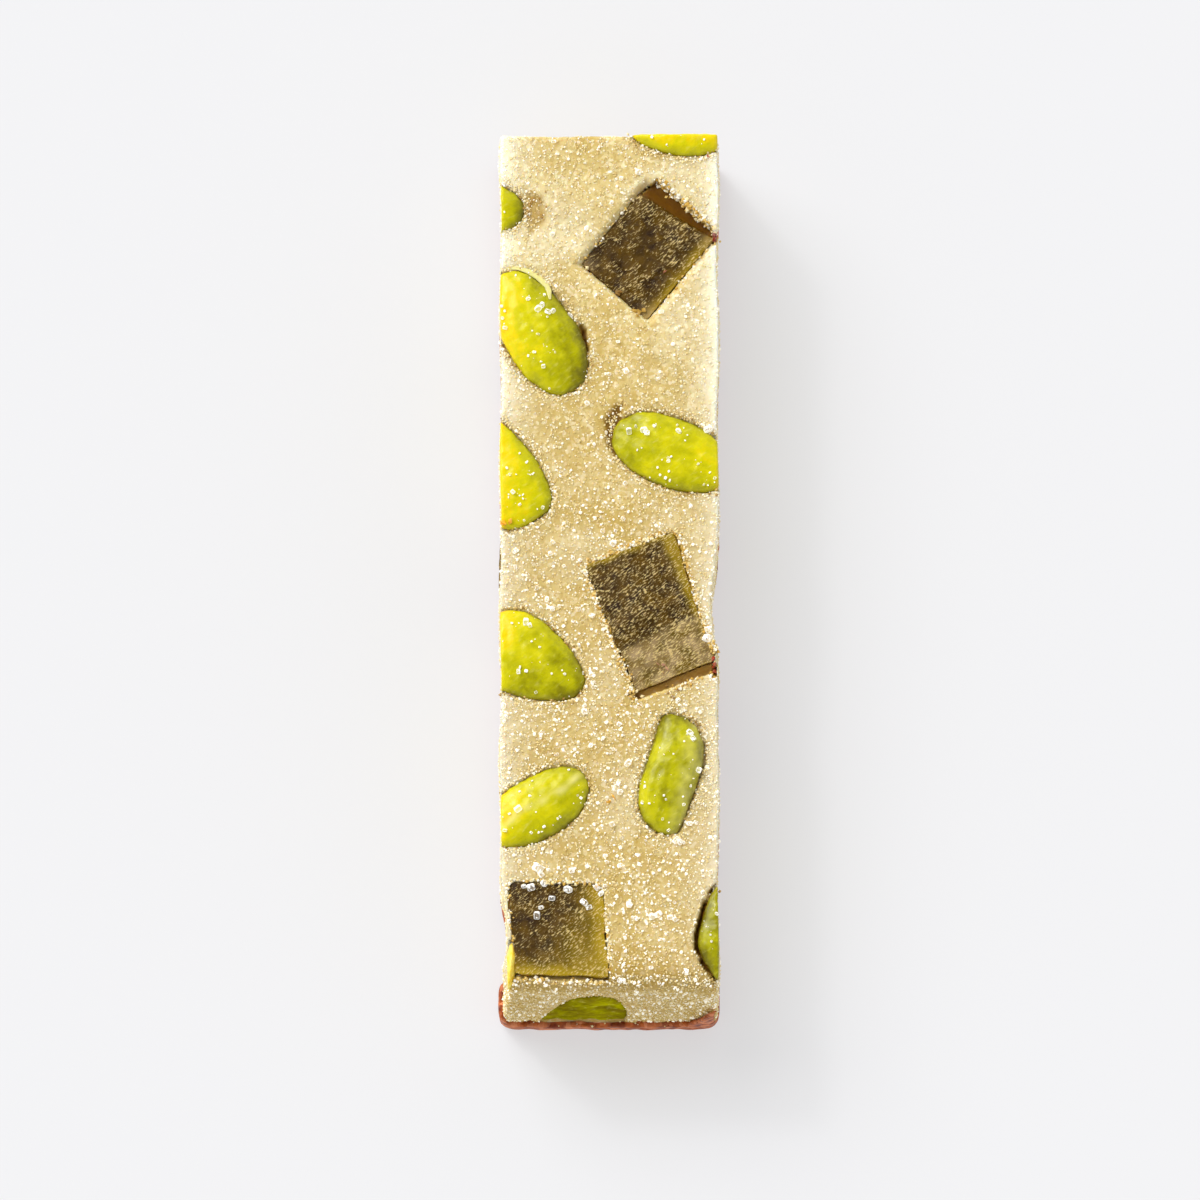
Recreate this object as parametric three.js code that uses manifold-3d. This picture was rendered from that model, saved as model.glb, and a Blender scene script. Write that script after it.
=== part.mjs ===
// Bar of granular almond paste with pistachio kernels and candied fruit cubes, on a chocolate base.
// Millimetres, +Z up. X runs across the bar and Y along it, with the chocolate-footed end at -Y.
// The origin is under the middle of the bar, on the surface that it rests on.
import * as THREE from 'three';
import { RoundedBoxGeometry } from 'three/addons/geometries/RoundedBoxGeometry.js';
import { mergeVertices } from 'three/addons/utils/BufferGeometryUtils.js';
import Module from 'manifold-3d';

const wasm = await Module();
wasm.setup();
const { clamp, degToRad, lerp, smoothstep } = THREE.MathUtils;

// Driving dimensions
const barLength = 108;
const barWidth = 27;
const barHeight = 20;
const baseThickness = 3.2;
const footWidth = 0.8;
const fitGap = 0.3;
const mergeDistance = 1e-4;

// Form of the paste
const endLean = 1.1;
const endRounding = 2.4;
const endDrop = 1;
const sideWave = 0.12;
const sideWaveLength = 19;
const dentDepth = 0.85;
const dentCentre = -4.7;
const dentHalfLength = 8;
const cornerInset = 0.85;
const cornerInsetStart = -38.5;
const cornerInsetRamp = 2;
const crumbRelief = 0.13;
const pasteCells = { across: 12, along: 46, up: 6 };
const pasteSeed = 8;
const plainCells = { across: 1, along: 30, up: 2 };

// Form of the chocolate
const baseInset = 0.05;
const baseDentShare = 0.4; // the base is dented less than the paste
const baseEdgeRounding = 0.9;
const footLeftLength = 6.2;
const footRightLength = 5;
const footRamp = 1.2;
const footCornerRadius = 1.9;
const outlineStep = 4;
const climbHeight = 10;
const climbRight = { start: 8.5, full: 13, rise: 5.6, reach: 6 };
const climbLeft = { start: -11.5, full: -13.2, rise: 1.6, reach: 6 };
const rimRipples = [{ height: 0.22, length: 5.3 }, { height: 0.12, length: 2.1 }];
const rimCells = { across: 40, along: 8 };

// Pistachio kernels: the round section is a little boxy and the ends are blunt
const kernelFaces = { round: 14, along: 9 };
const sliverFaces = { round: 8, along: 5 };
const kernelSectionPower = 2.4;
const kernelEndPower = 0.86; // less makes blunter ends
const swayPeak = 2.6; // brings the largest sideways shift of an S-shaped kernel to its sway
const kernelSink = 0.35;
const kernelDome = 1.3;
const kernelDepth = 4.2;

// Candied fruit cubes
const cubeRounding = 0.9;
const cubeSegments = 1;
const mouthDepth = 2.2;
const mouthMargin = 0.45;
const mouthHeight = 3;
const creaseShare = 0.34;

// The largest sugar crystals, fused to the top of the paste
const crystalCell = 4.4;
const crystalSize = { least: 0.8, most: 1.25 };
const crystalSides = [1, 0.8, 0.7];
const crystalShare = { near: 1, far: 0.3 };
const crystalClearance = 1.1;
const crystalEdgeClearance = 1.6;
const crystalSeed = 7;

// Kernels that show in the top, each with the middle of its outline at the level of the paste.
// A yaw of 0 points the slimmer end along +X. A gap is how far the paste has pulled away from one side.
const topKernels = [
  { x: 8.2, y: 54.9, length: 12.6, width: 7, yaw: 173, taper: 0.1 },
  { x: -16.2, y: 45.1, length: 11.8, width: 7, yaw: -8, taper: 0.1 },
  { x: -8.7, y: 29.4, length: 17.2, width: 9.2, yaw: 121, taper: 0.06, dome: 1.6, gap: [0.5, 0.25] },
  { x: 7.7, y: 14.4, length: 15.6, width: 8.8, yaw: -22, taper: 0.02 },
  { x: -13.1, y: 12.2, length: 15, width: 8.6, yaw: 117, taper: 0.26, endPower: 0.62 },
  { x: -9.6, y: -11.4, length: 14.8, width: 9.8, yaw: -30, taper: 0.3 },
  { x: 7.4, y: -25.5, length: 15.4, width: 7.3, yaw: 89, bend: -0.25, sway: -0.9, dome: 1.9 },
  { x: -9.2, y: -29.4, length: 14.6, width: 7.9, yaw: -150, taper: 0.06, bend: 0.5 },
  { x: 14.9, y: -45.3, length: 12.8, width: 7.4, yaw: 93, taper: 0.05, gap: [-0.9, 0] },
];

// The kernel that stands in the leaning end, above the foot
const endKernel = {
  x: -3.1,
  y: -52.75,
  z: 4.6,
  length: 21.6,
  width: 10.4,
  dome: 5,
  depth: 2.4,
  yaw: 21,
  pitch: -79,
  roll: 69,
  endPower: 1.2,
};

// Round kernels lower down, cut through by the sides and the far end
const sideKernels = [
  { x: -13.1, y: 24, z: 8.6, length: 14.6, width: 7.8, yaw: 90, pitch: 16 },
  { x: -13.3, y: -20.5, z: 9, length: 13.4, width: 7.4, yaw: -88, pitch: 38 },
  { x: 13.3, y: 26.5, z: 9.2, length: 14, width: 7.6, yaw: 86, pitch: -24 },
  { x: 13.2, y: 5.5, z: 7.6, length: 13.8, width: 6.6, yaw: 94, pitch: 8 },
  { x: 13.2, y: -31, z: 9.4, length: 14.6, width: 7.8, yaw: 88, pitch: 30 },
  { x: -5.6, y: 53.8, z: 10.4, length: 13.6, width: 7.6, yaw: 4, pitch: 42 },
];

// Fruit cubes, each placed by the middle of its upper face. Those in the top have an open mouth above
// them, which a crevice widens past their +X end. The +X end of one is bent down at a crease, and its
// other end flares out on the +Y side. One is skewed, as seen from above.
const fruitCubes = [
  { x: 4.7, y: 39.5, top: 19.4, size: [12.7, 10.7, 8.4], yaw: 51, crevice: 0.65, lean: -3 },
  { x: 5, y: -5.5, top: 20.2, size: [16.8, 10.6, 7.4], yaw: -68, crevice: 0.4, bend: 7, flare: 1.4 },
  { x: -6.2, y: -44.7, top: 19.9, size: [11.5, 11.4, 6.4], yaw: -2, crevice: 0.1, skew: -0.1 },
  { x: -10.6, y: 0.6, top: 12.6, size: [9, 10, 8.4], yaw: 14 },
  { x: 11, y: -18.6, top: 12.2, size: [9, 9.6, 8], yaw: -12, lean: 8 },
  { x: 6.6, y: 52.8, top: 11.8, size: [10, 8, 7.8], yaw: 8, lean: -6 },
];

// Yellow sliver at the side of the cube next to the foot
const peelSliver = {
  x: -12,
  y: -48.9,
  z: 18,
  length: 6,
  width: 1.5,
  yaw: 85,
  dome: 2.3,
  depth: 2.6,
  faces: sliverFaces,
};

// A hollow in the right side, under the corner of the first cube, that bares the edge of the base
const sideHollow = {
  x: 13.7,
  y: 42.4,
  z: 11.2,
  length: 17.4,
  width: 2,
  dome: 1.7,
  depth: 1.7,
  yaw: 90,
  pitch: -100,
};

const finish = {
  paste: { color: 0xe2cd94, roughness: 0.75 },
  chocolate: { color: 0x8a4a34, roughness: 0.6 },
  kernel: { color: 0xc8bd2c, roughness: 0.45 },
  cube: { color: 0x6d5227, roughness: 0.35 },
  peel: { color: 0xf2d63a, roughness: 0.5 },
};

// Repeatable random numbers from 0 to 1
function seededRandom(seed) {
  let state = seed;
  return () => {
    state = (state + 0x6d2b79f5) | 0;
    let mixed = Math.imul(state ^ (state >>> 15), 1 | state);
    mixed = (mixed + Math.imul(mixed ^ (mixed >>> 7), 61 | mixed)) ^ mixed;
    return ((mixed ^ (mixed >>> 14)) >>> 0) / 4294967296;
  };
}

// A smooth bump: 1 at its centre, 0 past its half length
function bump(value, centre, halfLength) {
  const share = clamp(Math.abs(value - centre) / halfLength, 0, 1);
  return 0.5 + 0.5 * Math.cos(Math.PI * share);
}

// Moves every vertex of a geometry by a function of its place
function reshape(geometry, move) {
  const position = geometry.getAttribute('position');
  const point = new THREE.Vector3();
  for (let index = 0; index < position.count; index += 1) {
    move(point.fromBufferAttribute(position, index));
    position.setXYZ(index, point.x, point.y, point.z);
  }
  return geometry;
}

// A closed geometry as a solid that can be joined and cut
function solidOf(geometry) {
  geometry.deleteAttribute('normal');
  geometry.deleteAttribute('uv');
  const merged = mergeVertices(geometry, mergeDistance);
  return new wasm.Manifold(new wasm.Mesh({
    numProp: 3,
    vertProperties: new Float32Array(merged.getAttribute('position').array),
    triVerts: new Uint32Array(merged.getIndex().array),
  }));
}

// A named mesh of the largest body of a solid, without any scrap that a cut has left loose
function meshOf(name, solid, look) {
  const bodies = solid.decompose().sort((one, other) => other.volume() - one.volume());
  const { vertProperties, triVerts } = bodies[0].getMesh();
  const geometry = new THREE.BufferGeometry();
  geometry.setAttribute('position', new THREE.BufferAttribute(vertProperties, 3));
  geometry.setIndex(new THREE.BufferAttribute(triVerts, 1));
  geometry.computeVertexNormals();
  const mesh = new THREE.Mesh(geometry, new THREE.MeshStandardMaterial({ metalness: 0, ...look }));
  mesh.name = name;
  return mesh;
}

// The bar's own form
// Side lines seen from above, with the dent on the right and the set-in left corner
function leftSide(y) {
  const inset = cornerInset * (1 - smoothstep(y, cornerInsetStart - cornerInsetRamp, cornerInsetStart));
  return -barWidth / 2 + inset + sideWave * (1 + Math.sin((2 * Math.PI * y) / sideWaveLength));
}

function rightSide(y, dentShare = 1) {
  const wave = sideWave * (1 + Math.cos((2 * Math.PI * y) / sideWaveLength));
  return barWidth / 2 - wave - dentShare * dentDepth * bump(y, dentCentre, dentHalfLength);
}

// The footed end leans back towards the top
function nearEnd(z) {
  const share = (z - baseThickness) / (barHeight - baseThickness);
  return -barLength / 2 + footWidth + endLean * share;
}

// A box of unit size becomes the bar between two levels, grown outwards all round
function barForm(cells, floor, ceiling, grow) {
  const box = new THREE.BoxGeometry(1, 1, 1, cells.across, cells.along, cells.up);
  return reshape(box, (point) => {
    const z = lerp(floor, ceiling, point.z + 0.5);
    const y = lerp(nearEnd(z) - grow, barLength / 2 + grow, point.y + 0.5);
    const x = lerp(leftSide(y) - grow, rightSide(y) + grow, point.x + 0.5);
    point.set(x, y, z);
  });
}

// What lies under a level, as a block to cut away
function blockBelow(level) {
  const side = 2 * barLength;
  const block = new THREE.BoxGeometry(side, side, side);
  return solidOf(block.translate(0, 0, level - side / 2));
}

// The paste before its pockets: rounded over at the footed end and crumbly all round
function pasteBlock() {
  const random = seededRandom(pasteSeed);
  const shifts = new Map();
  const shiftAt = (point) => {
    const key = point.toArray().map((value) => value.toFixed(3)).join();
    if (!shifts.has(key)) {
      const shift = new THREE.Vector3(random() - 0.5, random() - 0.5, random() - 0.5);
      shifts.set(key, shift.multiplyScalar(2 * crumbRelief));
    }
    return shifts.get(key);
  };
  const form = barForm(pasteCells, baseThickness - 1, barHeight - crumbRelief, -crumbRelief);
  reshape(form, (point) => {
    const roundedShare = 1 - clamp((point.y - nearEnd(barHeight)) / endRounding, 0, 1);
    const heightShare = clamp((point.z - baseThickness) / (barHeight - baseThickness), 0, 1);
    const shift = shiftAt(point);
    point.z -= endDrop * roundedShare ** 2 * heightShare;
    point.add(shift);
  });
  return solidOf(form).subtract(blockBelow(baseThickness));
}

// Kernels and cubes
function placeMatrix({ x, y, z, yaw = 0, pitch = 0, roll = 0 }) {
  const turn = new THREE.Euler(degToRad(roll), degToRad(pitch), degToRad(yaw), 'ZYX');
  return new THREE.Matrix4().makeRotationFromEuler(turn).setPosition(x, y, z);
}

// A kernel along its own X, slimmer towards +X, with a low dome above and a deep belly below
function kernelSolid(kernel, grow) {
  const { length, width, taper = 0, bend = 0, sway = 0, dome = kernelDome, depth = kernelDepth } = kernel;
  const { faces = kernelFaces, endPower = kernelEndPower } = kernel;
  const sphere = new THREE.SphereGeometry(1, faces.round, faces.along);
  reshape(sphere, (point) => {
    const along = point.y;
    const ring = Math.hypot(point.x, point.z);
    const across = ring > 0 ? -point.x / ring : 0;
    const up = ring > 0 ? point.z / ring : 0;
    const power = kernelSectionPower;
    const boxy = ring > 0 ? (Math.abs(across) ** power + Math.abs(up) ** power) ** (-1 / power) : 0;
    const reach = boxy * ring ** endPower;
    const slim = 1 - taper * along;
    const halfHeight = (up > 0 ? dome : depth) * slim + grow;
    const curve = (bend + swayPeak * sway * along) * (1 - along ** 2);
    point.x = along * (length / 2 + grow);
    point.y = across * reach * ((width / 2) * slim + grow) + curve;
    point.z = up * reach * halfHeight;
  });
  return solidOf(sphere.applyMatrix4(placeMatrix(kernel)));
}

// The pocket of a kernel, cut a second time further out where there is a gap
function kernelPocket(kernel) {
  const pocket = kernelSolid(kernel, fitGap);
  if (!kernel.gap) return pocket;
  const [xGap, yGap] = kernel.gap;
  return pocket.add(kernelSolid({ ...kernel, x: kernel.x + xGap, y: kernel.y + yGap }, fitGap));
}

// A rounded box that hangs from the middle of its upper face
function hangingBox(length, width, height, grow) {
  const sides = [length, width, height].map((side) => side + 2 * grow);
  const box = new RoundedBoxGeometry(...sides, cubeSegments, cubeRounding + grow);
  return box.translate(0, 0, -height / 2);
}

// A cube of candied fruit; the end of a creased one is a second box, turned down about the crease
function cubeSolid(cube, grow) {
  const { x, y, top, size, yaw, lean = 0, bend = 0, flare = 0, skew = 0 } = cube;
  const [length, width, height] = size;
  const place = placeMatrix({ x, y, z: top, yaw, pitch: lean });
  if (!bend) {
    const box = reshape(hangingBox(length, width, height, grow), (point) => {
      point.x += skew * point.y;
    });
    return solidOf(box.applyMatrix4(place));
  }
  const endLength = creaseShare * length;
  const overlap = height / 2;
  const main = hangingBox(length - endLength, width, height, grow).translate(-endLength / 2, 0, 0);
  reshape(main, (point) => {
    point.y += point.y > 0 ? flare * clamp(0.5 - point.x / length, 0, 1) ** 2 : 0;
  });
  const end = hangingBox(endLength + overlap, width, height, grow).translate((endLength - overlap) / 2, 0, 0);
  end.rotateY(degToRad(bend)).translate(length / 2 - endLength, 0, 0);
  return solidOf(main.applyMatrix4(place)).add(solidOf(end.applyMatrix4(place)));
}

// The pocket of a cube, open above it where it shows in the top
function cubePocket(cube) {
  const pocket = cubeSolid(cube, fitGap);
  if (cube.crevice === undefined) return pocket;
  const [length, width] = cube.size;
  const mouthLength = length + 2 * mouthMargin + cube.crevice;
  const mouth = new THREE.BoxGeometry(mouthLength, width + 2 * mouthMargin, mouthDepth + mouthHeight);
  mouth.translate(cube.crevice / 2, 0, (mouthHeight - mouthDepth) / 2);
  return pocket.add(solidOf(mouth.applyMatrix4(placeMatrix({ ...cube, z: cube.top }))));
}

// True where an upper-side piece, with a margin round it, covers a point of the top
function coversTop(piece, x, y, margin) {
  const angle = degToRad(piece.yaw);
  const along = (x - piece.x) * Math.cos(angle) + (y - piece.y) * Math.sin(angle);
  const across = (y - piece.y) * Math.cos(angle) - (x - piece.x) * Math.sin(angle);
  if (piece.size) {
    return Math.abs(along) < piece.size[0] / 2 + margin && Math.abs(across) < piece.size[1] / 2 + margin;
  }
  const halfWidth = piece.width / 2 + Math.abs(piece.sway ?? 0);
  return Math.hypot(along / (piece.length / 2 + margin), across / (halfWidth + margin)) < 1;
}

// Large sugar crystals, one to a cell of the top where no piece lies; fewer towards the far end
function sugarCrystals(topPieces) {
  const random = seededRandom(crystalSeed);
  const crystals = [];
  const yFirst = nearEnd(barHeight) + crystalEdgeClearance;
  for (let yCell = yFirst; yCell < barLength / 2 - crystalCell; yCell += crystalCell) {
    for (let xCell = -barWidth / 2; xCell < barWidth / 2; xCell += crystalCell) {
      const x = xCell + random() * crystalCell;
      const y = yCell + random() * crystalCell;
      const size = lerp(crystalSize.least, crystalSize.most, random());
      const turn = new THREE.Euler(random() * Math.PI, random() * Math.PI, random() * Math.PI);
      const farShare = smoothstep(y, -barLength / 6, barLength / 4);
      const kept = random() < lerp(crystalShare.near, crystalShare.far, farShare);
      const inside = x > leftSide(y) + crystalEdgeClearance && x < rightSide(y) - crystalEdgeClearance;
      const free = !topPieces.some((piece) => coversTop(piece, x, y, crystalClearance));
      if (kept && inside && free) {
        const block = new THREE.BoxGeometry(...crystalSides.map((side) => side * size));
        block.applyMatrix4(new THREE.Matrix4().makeRotationFromEuler(turn));
        crystals.push(solidOf(block.translate(x, y, barHeight)));
      }
    }
  }
  return crystals;
}

// Chocolate base
// Its outline follows the sides of the paste and swells into a foot round the near end
function baseOutline() {
  const halfWidth = barWidth / 2;
  const nearY = -barLength / 2;
  const farY = barLength / 2;
  const footEdge = (y, length) => 1 - smoothstep(y, nearY + length - footRamp, nearY + length);
  const leftEdge = (y) => lerp(leftSide(y) + baseInset, -halfWidth, footEdge(y, footLeftLength));
  const plainRightEdge = (y) => rightSide(y, baseDentShare) - baseInset;
  const rightEdge = (y) => lerp(plainRightEdge(y), halfWidth, footEdge(y, footRightLength));
  const levels = [];
  for (let y = farY - baseInset; y > nearY + footLeftLength + footRamp; y -= outlineStep) levels.push(y);
  for (let y = nearY + footLeftLength; y > nearY + footCornerRadius; y -= footRamp) levels.push(y);
  const outline = new THREE.Shape();
  outline.moveTo(leftEdge(levels[0]), levels[0]);
  levels.slice(1).forEach((y) => outline.lineTo(leftEdge(y), y));
  outline.lineTo(-halfWidth, nearY + footCornerRadius);
  outline.quadraticCurveTo(-halfWidth, nearY, footCornerRadius - halfWidth, nearY);
  outline.lineTo(halfWidth - footCornerRadius, nearY);
  outline.quadraticCurveTo(halfWidth, nearY, halfWidth, nearY + footCornerRadius);
  levels.reverse().forEach((y) => outline.lineTo(rightEdge(y), y));
  outline.closePath();
  return outline;
}

// How high the chocolate stands on the footed end: rippled, with a tongue up each corner
function rimHeight(x, y) {
  const ripples = rimRipples.map(({ height, length }) => height * Math.sin((2 * Math.PI * x) / length));
  const ripple = ripples.reduce((sum, one) => sum + one, 0);
  const climb = ({ start, full, rise, reach }) => {
    const across = smoothstep((x - start) / (full - start), 0, 1);
    const along = 1 - smoothstep(y, -barLength / 2, -barLength / 2 + reach);
    return rise * across * along;
  };
  return baseThickness + ripple + climb(climbRight) + climb(climbLeft);
}

function chocolateBase() {
  const slab = new THREE.ExtrudeGeometry(baseOutline(), {
    depth: climbHeight,
    bevelThickness: baseEdgeRounding,
    bevelSize: baseEdgeRounding,
    bevelOffset: -baseEdgeRounding,
    bevelSegments: 2,
    curveSegments: 4,
  });
  slab.translate(0, 0, baseEdgeRounding);
  const room = barForm(plainCells, baseThickness, 2 * barHeight, fitGap);
  const trimLength = 3 * footLeftLength;
  const trimWidth = barWidth + 2 * climbHeight;
  const trim = new THREE.BoxGeometry(trimWidth, trimLength, barHeight, rimCells.across, rimCells.along);
  trim.translate(0, trimLength / 2 - barLength / 2 - footWidth, 0);
  reshape(trim, (point) => {
    point.z = point.z < 0 ? rimHeight(point.x, point.y) : 2 * barHeight;
  });
  const farTrim = new THREE.BoxGeometry(trimWidth, barLength, barHeight);
  farTrim.translate(0, trimLength - 2 * footWidth, baseThickness + barHeight / 2);
  return [room, trim, farTrim].reduce((base, cut) => base.subtract(solidOf(cut)), solidOf(slab));
}

// The whole bar
const trimSolid = solidOf(barForm(plainCells, baseThickness + fitGap, barHeight + kernelDepth, 0));
const surfaceKernels = topKernels.map((kernel) => ({ ...kernel, z: barHeight - kernelSink }));
const roundKernels = sideKernels.map((kernel) => {
  const half = kernel.width / 2;
  return { ...kernel, dome: half, depth: half };
});
const topCubes = fruitCubes.filter((cube) => cube.crevice !== undefined);
const topPieces = [...surfaceKernels, ...topCubes, peelSliver];

const pieces = [
  ...[...surfaceKernels, endKernel, ...roundKernels].map((kernel, index) => ({
    name: `pistachio_${String(index + 1).padStart(2, '0')}`,
    look: finish.kernel,
    solid: kernelSolid(kernel, 0),
    pocket: kernelPocket(kernel),
  })),
  ...fruitCubes.map((cube, index) => ({
    name: `fruit_cube_${index + 1}`,
    look: finish.cube,
    solid: cubeSolid(cube, 0).subtract(kernelSolid(peelSliver, fitGap)),
    pocket: cubePocket(cube),
  })),
  {
    name: 'peel_sliver',
    look: finish.peel,
    solid: kernelSolid(peelSliver, 0),
    pocket: kernelSolid(peelSliver, fitGap),
  },
];

let paste = pasteBlock().subtract(kernelSolid(sideHollow, 0));
pieces.forEach(({ pocket }) => {
  paste = paste.subtract(pocket);
});
sugarCrystals(topPieces).forEach((crystal) => {
  paste = paste.add(crystal);
});

const bar = new THREE.Group();
bar.add(meshOf('chocolate_base', chocolateBase(), finish.chocolate));
bar.add(meshOf('almond_paste', paste, finish.paste));
pieces.forEach(({ name, solid, look }) => {
  bar.add(meshOf(name, solid.intersect(trimSolid), look));
});

export default bar;
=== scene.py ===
# Looks of an almond paste bar: granular paste, pistachio kernels, candied fruit, sugar and chocolate.
# The builders below work in millimetres, and makePiece turns them into metres.
import math

import bmesh
import bpy
import numpy as np
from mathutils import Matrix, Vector, noise
from mathutils.bvhtree import BVHTree


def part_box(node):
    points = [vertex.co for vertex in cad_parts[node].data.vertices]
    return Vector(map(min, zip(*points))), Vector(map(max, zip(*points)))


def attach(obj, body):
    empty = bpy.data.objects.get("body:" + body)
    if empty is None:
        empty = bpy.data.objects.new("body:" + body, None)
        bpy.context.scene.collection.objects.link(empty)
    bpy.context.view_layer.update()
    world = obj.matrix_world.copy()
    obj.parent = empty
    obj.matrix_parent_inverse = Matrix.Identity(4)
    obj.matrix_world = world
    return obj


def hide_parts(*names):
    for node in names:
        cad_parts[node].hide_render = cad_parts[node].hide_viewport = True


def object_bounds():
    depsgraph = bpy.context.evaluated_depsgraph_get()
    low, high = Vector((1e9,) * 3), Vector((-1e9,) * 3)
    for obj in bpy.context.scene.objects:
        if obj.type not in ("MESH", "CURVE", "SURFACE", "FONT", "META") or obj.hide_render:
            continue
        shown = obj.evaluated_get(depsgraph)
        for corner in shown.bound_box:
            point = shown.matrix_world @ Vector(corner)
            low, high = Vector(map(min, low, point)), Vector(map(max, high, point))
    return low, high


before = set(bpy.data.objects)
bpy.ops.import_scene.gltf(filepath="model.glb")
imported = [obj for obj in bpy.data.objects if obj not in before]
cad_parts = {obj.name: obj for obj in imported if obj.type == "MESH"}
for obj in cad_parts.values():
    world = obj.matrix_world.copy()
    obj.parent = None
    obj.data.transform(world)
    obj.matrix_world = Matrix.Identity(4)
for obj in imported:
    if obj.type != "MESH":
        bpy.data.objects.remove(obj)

cadLow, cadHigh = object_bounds()
mm = 0.001
barSize = (cadHigh - cadLow) / mm
kernelNames = sorted(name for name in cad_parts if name.startswith("pistachio"))
cubeNames = sorted(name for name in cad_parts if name.startswith("fruit_cube"))
insetNames = kernelNames + cubeNames + ["peel_sliver"]

# How the photograph sees the bar: its pixels are those of a 1200 x 1200 picture
photo = {
    "pixels": 1200,
    "pixelsPerMm": 8.18,  # on the plane of the top
    "planeHeight": 20.0,
    "middle": (-1.14, -3.9),  # what lies in the middle of the picture on that plane
    "elevation": 80.0,
    "lens": 1200.0,
    "sensor": 36.0,
}


def atPixel(across, down, height=photo["planeHeight"]):
    # Place in mm of what the photograph shows at a pixel, at a given height above the table
    tilt = math.radians(90 - photo["elevation"])
    half = photo["pixels"] / 2
    x = photo["middle"][0] + (across - half) / photo["pixelsPerMm"]
    drop = (photo["planeHeight"] - height) * math.sin(tilt)
    y = photo["middle"][1] - ((down - half) / photo["pixelsPerMm"] - drop) / math.cos(tilt)
    return np.array([x, y, height])


# Colours are given as they look on a screen, 0 to 255, and used as linear values
def linear(red, green, blue):
    shares = [value / 255 for value in (red, green, blue)]
    channels = [share / 12.92 if share < 0.04045 else ((share + 0.055) / 1.055) ** 2.4 for share in shares]
    return (*channels, 1.0)


# Numeric helpers
def smoothNoise(points, size, seed):
    shift = Vector((17.3, 5.9, 11.7)) * seed
    return np.array([noise.noise(Vector(point) / size + shift) for point in points])


def grainNoise(points, size, seed):
    # 1 in the middle of each grain, down to 0 between the grains
    shift = Vector((3.1, 23.9, 7.7)) * seed
    nearest = np.array([noise.voronoi(Vector(point) / size + shift)[0][0] for point in points])
    return 1 - np.clip(nearest * 1.5, 0, 1) ** 2


def smoothStep(values, start, end):
    share = np.clip((values - start) / (end - start), 0, 1)
    return share * share * (3 - 2 * share)


def solidTree(names):
    corners = []
    faces = []
    for name in names:
        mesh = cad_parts[name].data
        start = len(corners)
        corners.extend(vertex.co / mm for vertex in mesh.vertices)
        faces.extend([start + index for index in polygon.vertices] for polygon in mesh.polygons)
    return BVHTree.FromPolygons(corners, faces)


def castDepths(tree, points, outward, lift=3.0, reach=6.0):
    # How far under each point, against its outward direction, the solids start
    depths = np.full(len(points), reach)
    for index, (point, direction) in enumerate(zip(points, outward)):
        up = Vector(direction)
        hit = tree.ray_cast(Vector(point) + up * lift, -up, reach + lift)
        if hit[0] is not None:
            depths[index] = hit[3] - lift
    return depths


def nearestDistances(tree, points, reach=6.0):
    found = (tree.find_nearest(Vector(point), reach)[3] for point in points)
    return np.array([reach if distance is None else distance for distance in found])


# Node helpers
def connect(tree, node, key, value):
    if isinstance(value, bpy.types.NodeSocket):
        tree.links.new(value, node.inputs[key])
    else:
        node.inputs[key].default_value = value


def put(tree, kind, sockets=None, **settings):
    node = tree.nodes.new(kind)
    for name, value in settings.items():
        setattr(node, name, value)
    for key, value in (sockets or {}).items():
        connect(tree, node, key, value)
    return node


def mixColor(tree, share, first, second):
    sockets = {0: share, 6: first, 7: second}
    return put(tree, "ShaderNodeMix", sockets, data_type="RGBA").outputs[2]


def calculate(tree, operation, first, second):
    return put(tree, "ShaderNodeMath", {0: first, 1: second}, operation=operation).outputs[0]


def stretch(tree, value, low, high, newLow=0.0, newHigh=1.0):
    sockets = {"Value": value, "From Min": low, "From Max": high, "To Min": newLow, "To Max": newHigh}
    return put(tree, "ShaderNodeMapRange", sockets).outputs[0]


def noiseAt(tree, place, scale, detail=2.0, distortion=0.0):
    sockets = {"Vector": place, "Scale": scale, "Detail": detail, "Distortion": distortion}
    return put(tree, "ShaderNodeTexNoise", sockets).outputs["Fac"]


def objectPlace(tree):
    return put(tree, "ShaderNodeTexCoord").outputs["Object"]


def newGroup(name, inputs, outputs):
    group = bpy.data.node_groups.new(name, "ShaderNodeTree")
    for label, kind, value in inputs:
        socket = group.interface.new_socket(label, in_out="INPUT", socket_type=kind)
        socket.default_value = value
    for label, kind in outputs:
        group.interface.new_socket(label, in_out="OUTPUT", socket_type=kind)
    return group, group.nodes.new("NodeGroupInput"), group.nodes.new("NodeGroupOutput")


# Shared effects
def makeGranules():
    # Round grains packed side by side: a random tone for each, and its height
    inputs = [("Scale", "NodeSocketFloat", 2000.0)]
    outputs = [("Tone", "NodeSocketFloat"), ("Height", "NodeSocketFloat")]
    group, entry, end = newGroup("granules", inputs, outputs)
    place = objectPlace(group)
    warp = put(group, "ShaderNodeTexNoise", {"Vector": place, "Scale": 900.0, "Detail": 1.0}).outputs["Color"]
    reach = (0.0004, 0.0004, 0.0004)
    sockets = {0: warp, 1: reach, 2: place}
    bent = put(group, "ShaderNodeVectorMath", sockets, operation="MULTIPLY_ADD").outputs[0]
    cells = put(group, "ShaderNodeTexVoronoi", {"Vector": bent, "Scale": entry.outputs["Scale"]})
    tone = put(group, "ShaderNodeSeparateColor", {"Color": cells.outputs["Color"]})
    group.links.new(tone.outputs["Red"], end.inputs["Tone"])
    group.links.new(stretch(group, cells.outputs["Distance"], 0.1, 0.75, 1.0, 0.0), end.inputs["Height"])
    return group


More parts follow.
